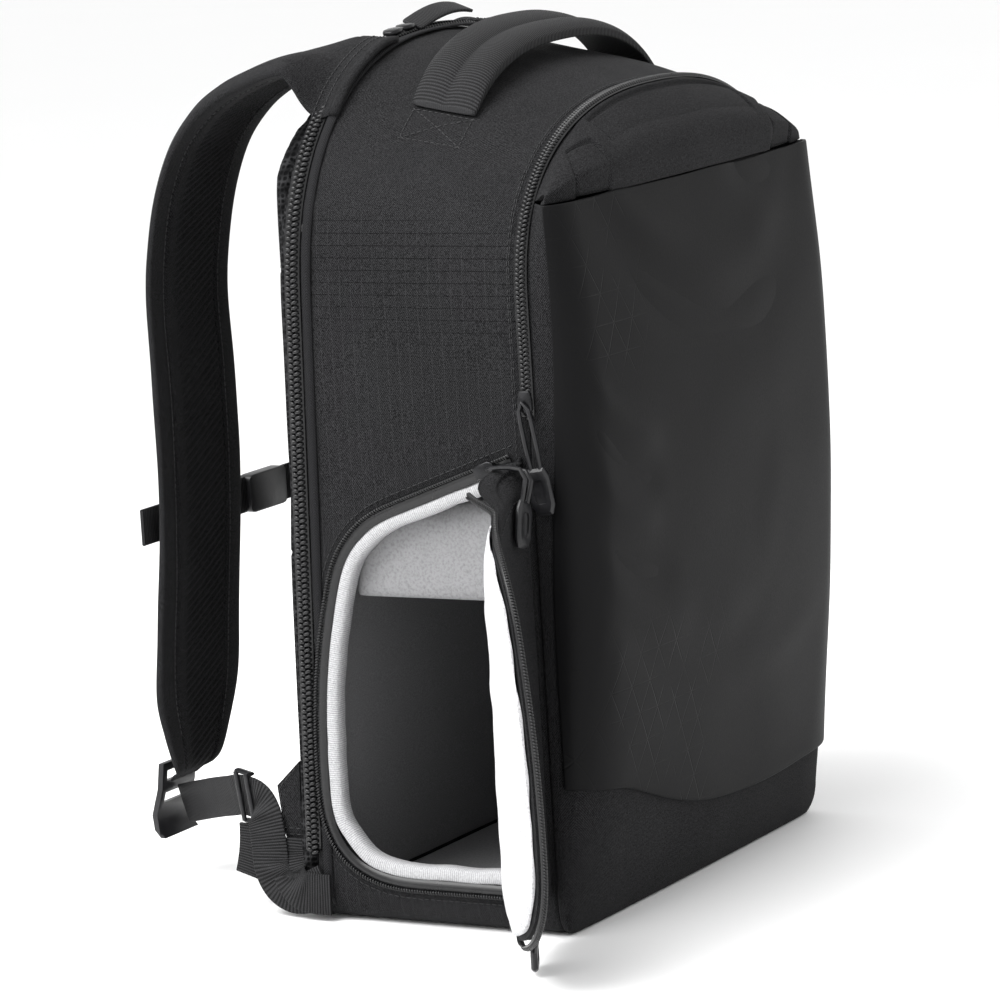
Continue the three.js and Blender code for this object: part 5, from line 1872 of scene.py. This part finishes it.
@dataclass
class LowerWebbing:
    """Webbing from the lower corners to the straps, with its adjusters, wings and the sternum strap."""

    width: float = 0.020
    thickness: float = 0.0016
    reach: float = 0.100
    rise: float = 0.052
    spread: float = 0.075
    segment: int = 8
    path: tuple[tuple[float, float, float], ...] = (
        (0.06, 0.346, 0.0),
        (0.16, 0.26, 0.0),
        (0.26, 0.231, 0.02),
        (0.34, 0.298, 0.04),
        (0.385, 0.442, 0.055),
        (0.395, 0.635, 0.065),
        (0.41, 0.808, 0.08),
        (0.44, 0.955, 0.125),
        (0.505, 1.042, 0.195),
        (0.625, 1.046, 0.3),
        (0.72, 1.0, 0.395),
        (0.87, 0.923, 0.56),
        (1.05, 0.817, 0.78),
        (1.23, 0.712, 0.97),
    )
    fold: tuple[tuple[float, float, float], ...] = (
        (-0.1292, 0.0880, 0.0380),
        (-0.1300, 0.0878, 0.0290),
        (-0.1330, 0.0850, 0.0200),
        (-0.1364, 0.0780, 0.0148),
        (-0.1370, 0.0690, 0.0135),
        (-0.1366, 0.0610, 0.0132),
    )
    bar_reach: float = 0.0118
    rail_reach: float = 0.0062
    slant: float = 0.28
    tail_width: float = 0.0167
    tail_length: float = 0.026
    wing_face: float = 0.1276
    wing_seams: tuple[tuple[tuple[float, float], ...], ...] = (
        ((0.0825, 0.0395), (0.0905, 0.0395)),
        ((0.0825, 0.0425), (0.0905, 0.0425)),
        ((0.0830, 0.071), (0.0915, 0.0625), (0.0905, 0.045)),
    )

    def band(self, width: float) -> list[tuple[float, float]]:
        """Section of webbing.

        Args:
            width: its width.

        Returns:
            Points across and out.
        """
        half, thick = width / 2.0, self.thickness / 2.0
        flat = half - 0.0006
        one = [(-half, -thick * 0.4), (-flat, -thick), (flat, -thick), (half, -thick * 0.4)]
        return one + [(-a, -o) for a, o in one]

    def strip(self, points: Sequence[Sequence[float]], width: float) -> Maker:
        """Webbing along a smooth line, on edge as it hangs.

        Args:
            points: points of the line.
            width: width of the webbing.

        Returns:
            Its faces.
        """
        line = resample(vectors(spline(points)), 0.0016)
        _, along, _, _ = axes(line, [Vector((1.0, 0.0, 0.0))] * len(line))
        outs = [Vector(a).cross(Vector((0.0, -a[2], a[1]))) for a in along]
        maker = Maker()
        maker.strip(line, outs, self.band(width))
        return maker

    @staticmethod
    def dress(maker: Maker, name: str, *nodes: str) -> None:
        """Turns faces into a piece of webbing, in the frame."""
        maker.piece(name, Finish.WEBBING, angle=50.0).stand_for("webbing", *nodes)

    def build(self) -> None:
        """Builds the pieces."""
        back = FORM.back_y(FORM.height)
        start = FORM.half + 0.0006 + self.thickness / 2.0
        for side, hand in (("left", -1.0), ("right", 1.0)):
            points = [
                (hand * mix(start, self.spread, inward), back + reach * self.reach, height * self.rise)
                for reach, height, inward in self.path
            ]
            node = f"lower_webbing_{side}"
            self.dress(self.strip(points, self.width), f"{node}_cloth", node)
            fold = [(-x * hand, y, z) for x, y, z in self.fold]
            self.dress(self.strip(fold, self.width), f"webbing_fold_{side}")
            self.make_adjuster(side, hand, points)
            self.make_wing(side, hand)
            self.make_sternum(side, hand)

    def make_adjuster(self, side: str, hand: float, points: Sequence[Sequence[float]]) -> None:
        """Builds the adjuster on the webbing and the webbing's free end.

        Args:
            side: left or right.
            hand: -1 on the left and 1 on the right.
            points: points of the webbing's line.
        """
        before, after = Vector(points[self.segment]), Vector(points[self.segment + 1])
        middle = (before + after) / 2.0
        along = (after - before).normalized()
        across = Vector((0.0, -along.z, along.y)).normalized()
        out = along.cross(across).normalized()
        out = out if out.x * hand > 0.0 else -out
        maker = Maker()
        across += along * self.slant
        for shift, lift in ((-0.0048, 0.0021), (0.0048, 0.0021), (0.0, -0.0019)):
            start = middle + along * shift + out * lift
            line = [start + across * t for t in np.linspace(-self.bar_reach, self.bar_reach, 7)]
            maker.strip(line, [out] * 7, oval(0.0013, 0.0012, 8))
        for hold in (-self.bar_reach, self.bar_reach):
            start = middle + across * hold
            line = [start + along * t for t in np.linspace(-self.rail_reach, self.rail_reach, 5)]
            maker.strip(line, [out] * 5, oval(0.0011, 0.0022, 8))
        adjuster = maker.piece(f"webbing_adjuster_{side}_part", Finish.PLASTIC, angle=60.0)
        adjuster.stand_for("plastic", f"webbing_adjuster_{side}")
        top = middle.z - self.width / 2.0 - 0.0032
        shares = np.linspace(0.0, 1.0, 9)
        sway = middle.y + (shares**2 - 0.5) * 0.004
        tail = [Vector((middle.x, y, top - t * self.tail_length)) for y, t in zip(sway, shares)]
        end = Maker()
        end.strip(tail, [Vector((hand, 0.0, 0.0))] * 9, self.band(self.tail_width))
        self.dress(end, f"webbing_tail_{side}_cloth", f"webbing_tail_{side}")

    def make_wing(self, side: str, hand: float) -> None:
        """Builds the fabric wing and its stitches.

        Args:
            side: left or right.
            hand: -1 on the left and 1 on the right.
        """
        node = f"strap_wing_{side}"
        wing = Piece.of_node(node, f"{node}_cloth", Finish.TWILL).bevel(0.0006)
        wing.shade(40.0).stand_for("twill", node)
        rows = [[Vector((hand * self.wing_face, y, z)) for y, z in seam] for seam in self.wing_seams]
        stitched(f"wing_stitches_{side}", rows, wing.tree())

    def make_sternum(self, side: str, hand: float) -> None:
        """Builds one half of the sternum strap.

        Args:
            side: left or right.
            hand: -1 on the left and 1 on the right.
        """
        node = f"sternum_strap_{side}"
        low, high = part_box(node)
        y, z = (low[1] + high[1]) / 2.0, (low[2] + high[2]) / 2.0
        line = [Vector((x, y, z)) for x in np.linspace(low[0], high[0], 40)]
        maker = Maker()
        maker.strip(line, [Vector((0.0, 1.0, 0.0))] * 40, self.band(high[2] - low[2]))
        self.dress(maker, f"{node}_cloth", node)


@dataclass
class Handle:
    """Carry handle and the crossed stitches beside its ends."""

    stitch_x: tuple[float, float] = (0.0925, 0.1075)
    stitch_y: tuple[float, float] = (-0.0175, 0.0135)

    def build(self, tree: BVHTree) -> None:
        """Builds the pieces.

        Args:
            tree: search tree of the shell.
        """
        piece = Piece.of_node("grab_handle", "handle_cloth", Finish.HANDLE).quads(40.0).subdivide(2)
        piece.shade().stand_for("webbing", "grab_handle", fill=0.4)
        rows = []
        for hand in (-1.0, 1.0):
            x0, x1 = (x * hand for x in self.stitch_x)
            y0, y1 = self.stitch_y
            spots = ((x0, y0), (x0, y1), (x1, y1), (x1, y0))
            corners = [Vector((x, y, FORM.crown_at(x, y))) for x, y in spots]
            rows.append([*corners, corners[0]])
            rows.append([corners[0], corners[2]])
            rows.append([corners[1], corners[3]])
        stitched("handle_stitches", rows, tree)


@dataclass
class Hardware:
    """Buckles, sliders and pullers."""

    plastic: tuple[str, ...] = (
        "strap_buckle_left",
        "strap_buckle_right",
        "sternum_slider_left",
        "sternum_slider_right",
        "front_zip_puller",
        "door_zip_puller",
        "door_foot_puller",
    )
    metal: tuple[str, ...] = (
        "front_zip_slider",
        "door_zip_slider",
        "door_foot_slider",
        "back_zip_slider_left",
        "back_zip_slider_right",
    )
    buckle_share: tuple[float, float, float] = (1.0, 0.75, 0.74)

    def build(self) -> None:
        """Builds the pieces."""
        kinds = ((self.plastic, Finish.PLASTIC, "plastic"), (self.metal, Finish.METAL, "metal"))
        for nodes, finish, slot in kinds:
            for node in nodes:
                piece = Piece.of_node(node, f"{node}_part", finish).quads().bevel(0.0004, 35.0)
                piece.shade(35.0).stand_for(slot, node)
        buckle = Piece.of_node("sternum_buckle", "sternum_buckle_part", Finish.PLASTIC).quads()
        points = buckle.points()
        middle = points.mean(axis=0)
        buckle.move(middle + (points - middle) * np.array(self.buckle_share))
        buckle.bevel(0.0004, 35.0).shade(35.0).stand_for("plastic", "sternum_buckle")
        ribbon = Piece.of_node("back_zip_ribbon", "ribbon_cloth", Finish.HANDLE).quads().subdivide(2)
        ribbon.shade(50.0).stand_for("webbing", "back_zip_ribbon")


@dataclass
class Studio:
    """Floor, light and camera."""

    eye: tuple[float, float, float] = (-2.100060, -1.178748, 0.593691)
    turn: float = 60.0
    pitch: float = 9.65
    roll: float = 3.5
    lens: float = 180.0
    sky: float = 1.0
    lights: tuple[tuple[str, tuple[float, float, float], float, float], ...] = (
        ("overhead", (-0.85, 0.45, 1.6), 1.4, 48.0),
        ("front", (-0.7, -2.0, 1.2), 1.4, 3.0),
        ("rear", (-1.6, 1.4, 1.0), 1.0, 7.0),
    )

    def build(self) -> None:
        """Builds the floor, the lights and the camera."""
        mesh = bpy.data.meshes.new("floor")
        corners = [(-6.0, -6.0, 0.0), (8.0, -6.0, 0.0), (8.0, 8.0, 0.0), (-6.0, 8.0, 0.0)]
        mesh.from_pydata(corners, [], [(0, 1, 2, 3)])
        floor = Piece("floor", mesh, Finish.FLOOR)
        for name, place, size, power in self.lights:
            data = bpy.data.lights.new(name, "AREA")
            data.size = size
            data.energy = power
            lamp = bpy.data.objects.new(name, data)
            lamp.location = place
            aim = Vector((0.0, 0.0, 0.2)) - Vector(place)
            lamp.rotation_euler = aim.to_track_quat("-Z", "Y").to_euler()
            bpy.context.scene.collection.objects.link(lamp)
        world = bpy.data.worlds.new("studio")
        world.use_nodes = True
        back = world.node_tree.nodes["Background"]
        back.inputs[0].default_value = (1.0, 1.0, 1.0, 1.0)
        back.inputs[1].default_value = self.sky
        bpy.context.scene.world = world
        bpy.context.scene.view_settings.view_transform = "Standard"
        self.make_camera()

    def make_camera(self) -> None:
        """Sets the camera where the photo's camera was."""
        turn, pitch, roll = (math.radians(v) for v in (self.turn, self.pitch, self.roll))
        flat = math.cos(pitch)
        back = Vector((-math.sin(turn) * flat, -math.cos(turn) * flat, math.sin(pitch)))
        level = Vector((math.cos(turn), -math.sin(turn), 0.0))
        upright = level.cross(-back)
        right = level * math.cos(roll) - upright * math.sin(roll)
        up = level * math.sin(roll) + upright * math.cos(roll)
        data = bpy.data.cameras.new("camera")
        data.sensor_width = 36.0
        data.lens = self.lens
        camera = bpy.data.objects.new("camera", data)
        matrix = Matrix((right, up, back)).transposed().to_4x4()
        matrix.translation = Vector(self.eye)
        camera.matrix_world = matrix
        bpy.context.scene.collection.objects.link(camera)
        bpy.context.scene.camera = camera


def main() -> None:
    """Builds the whole model in order."""
    logging.basicConfig(level=logging.INFO, format="%(message)s")
    compartment = MainCompartment()
    compartment.build()
    tree = compartment.shell.tree()
    FrontPocket().build(tree)
    SideDoor().build(tree)
    ShoulderStraps().build()
    LowerWebbing().build()
    Handle().build(tree)
    Hardware().build()
    Studio().build()


if __name__ == "__main__":
    main()
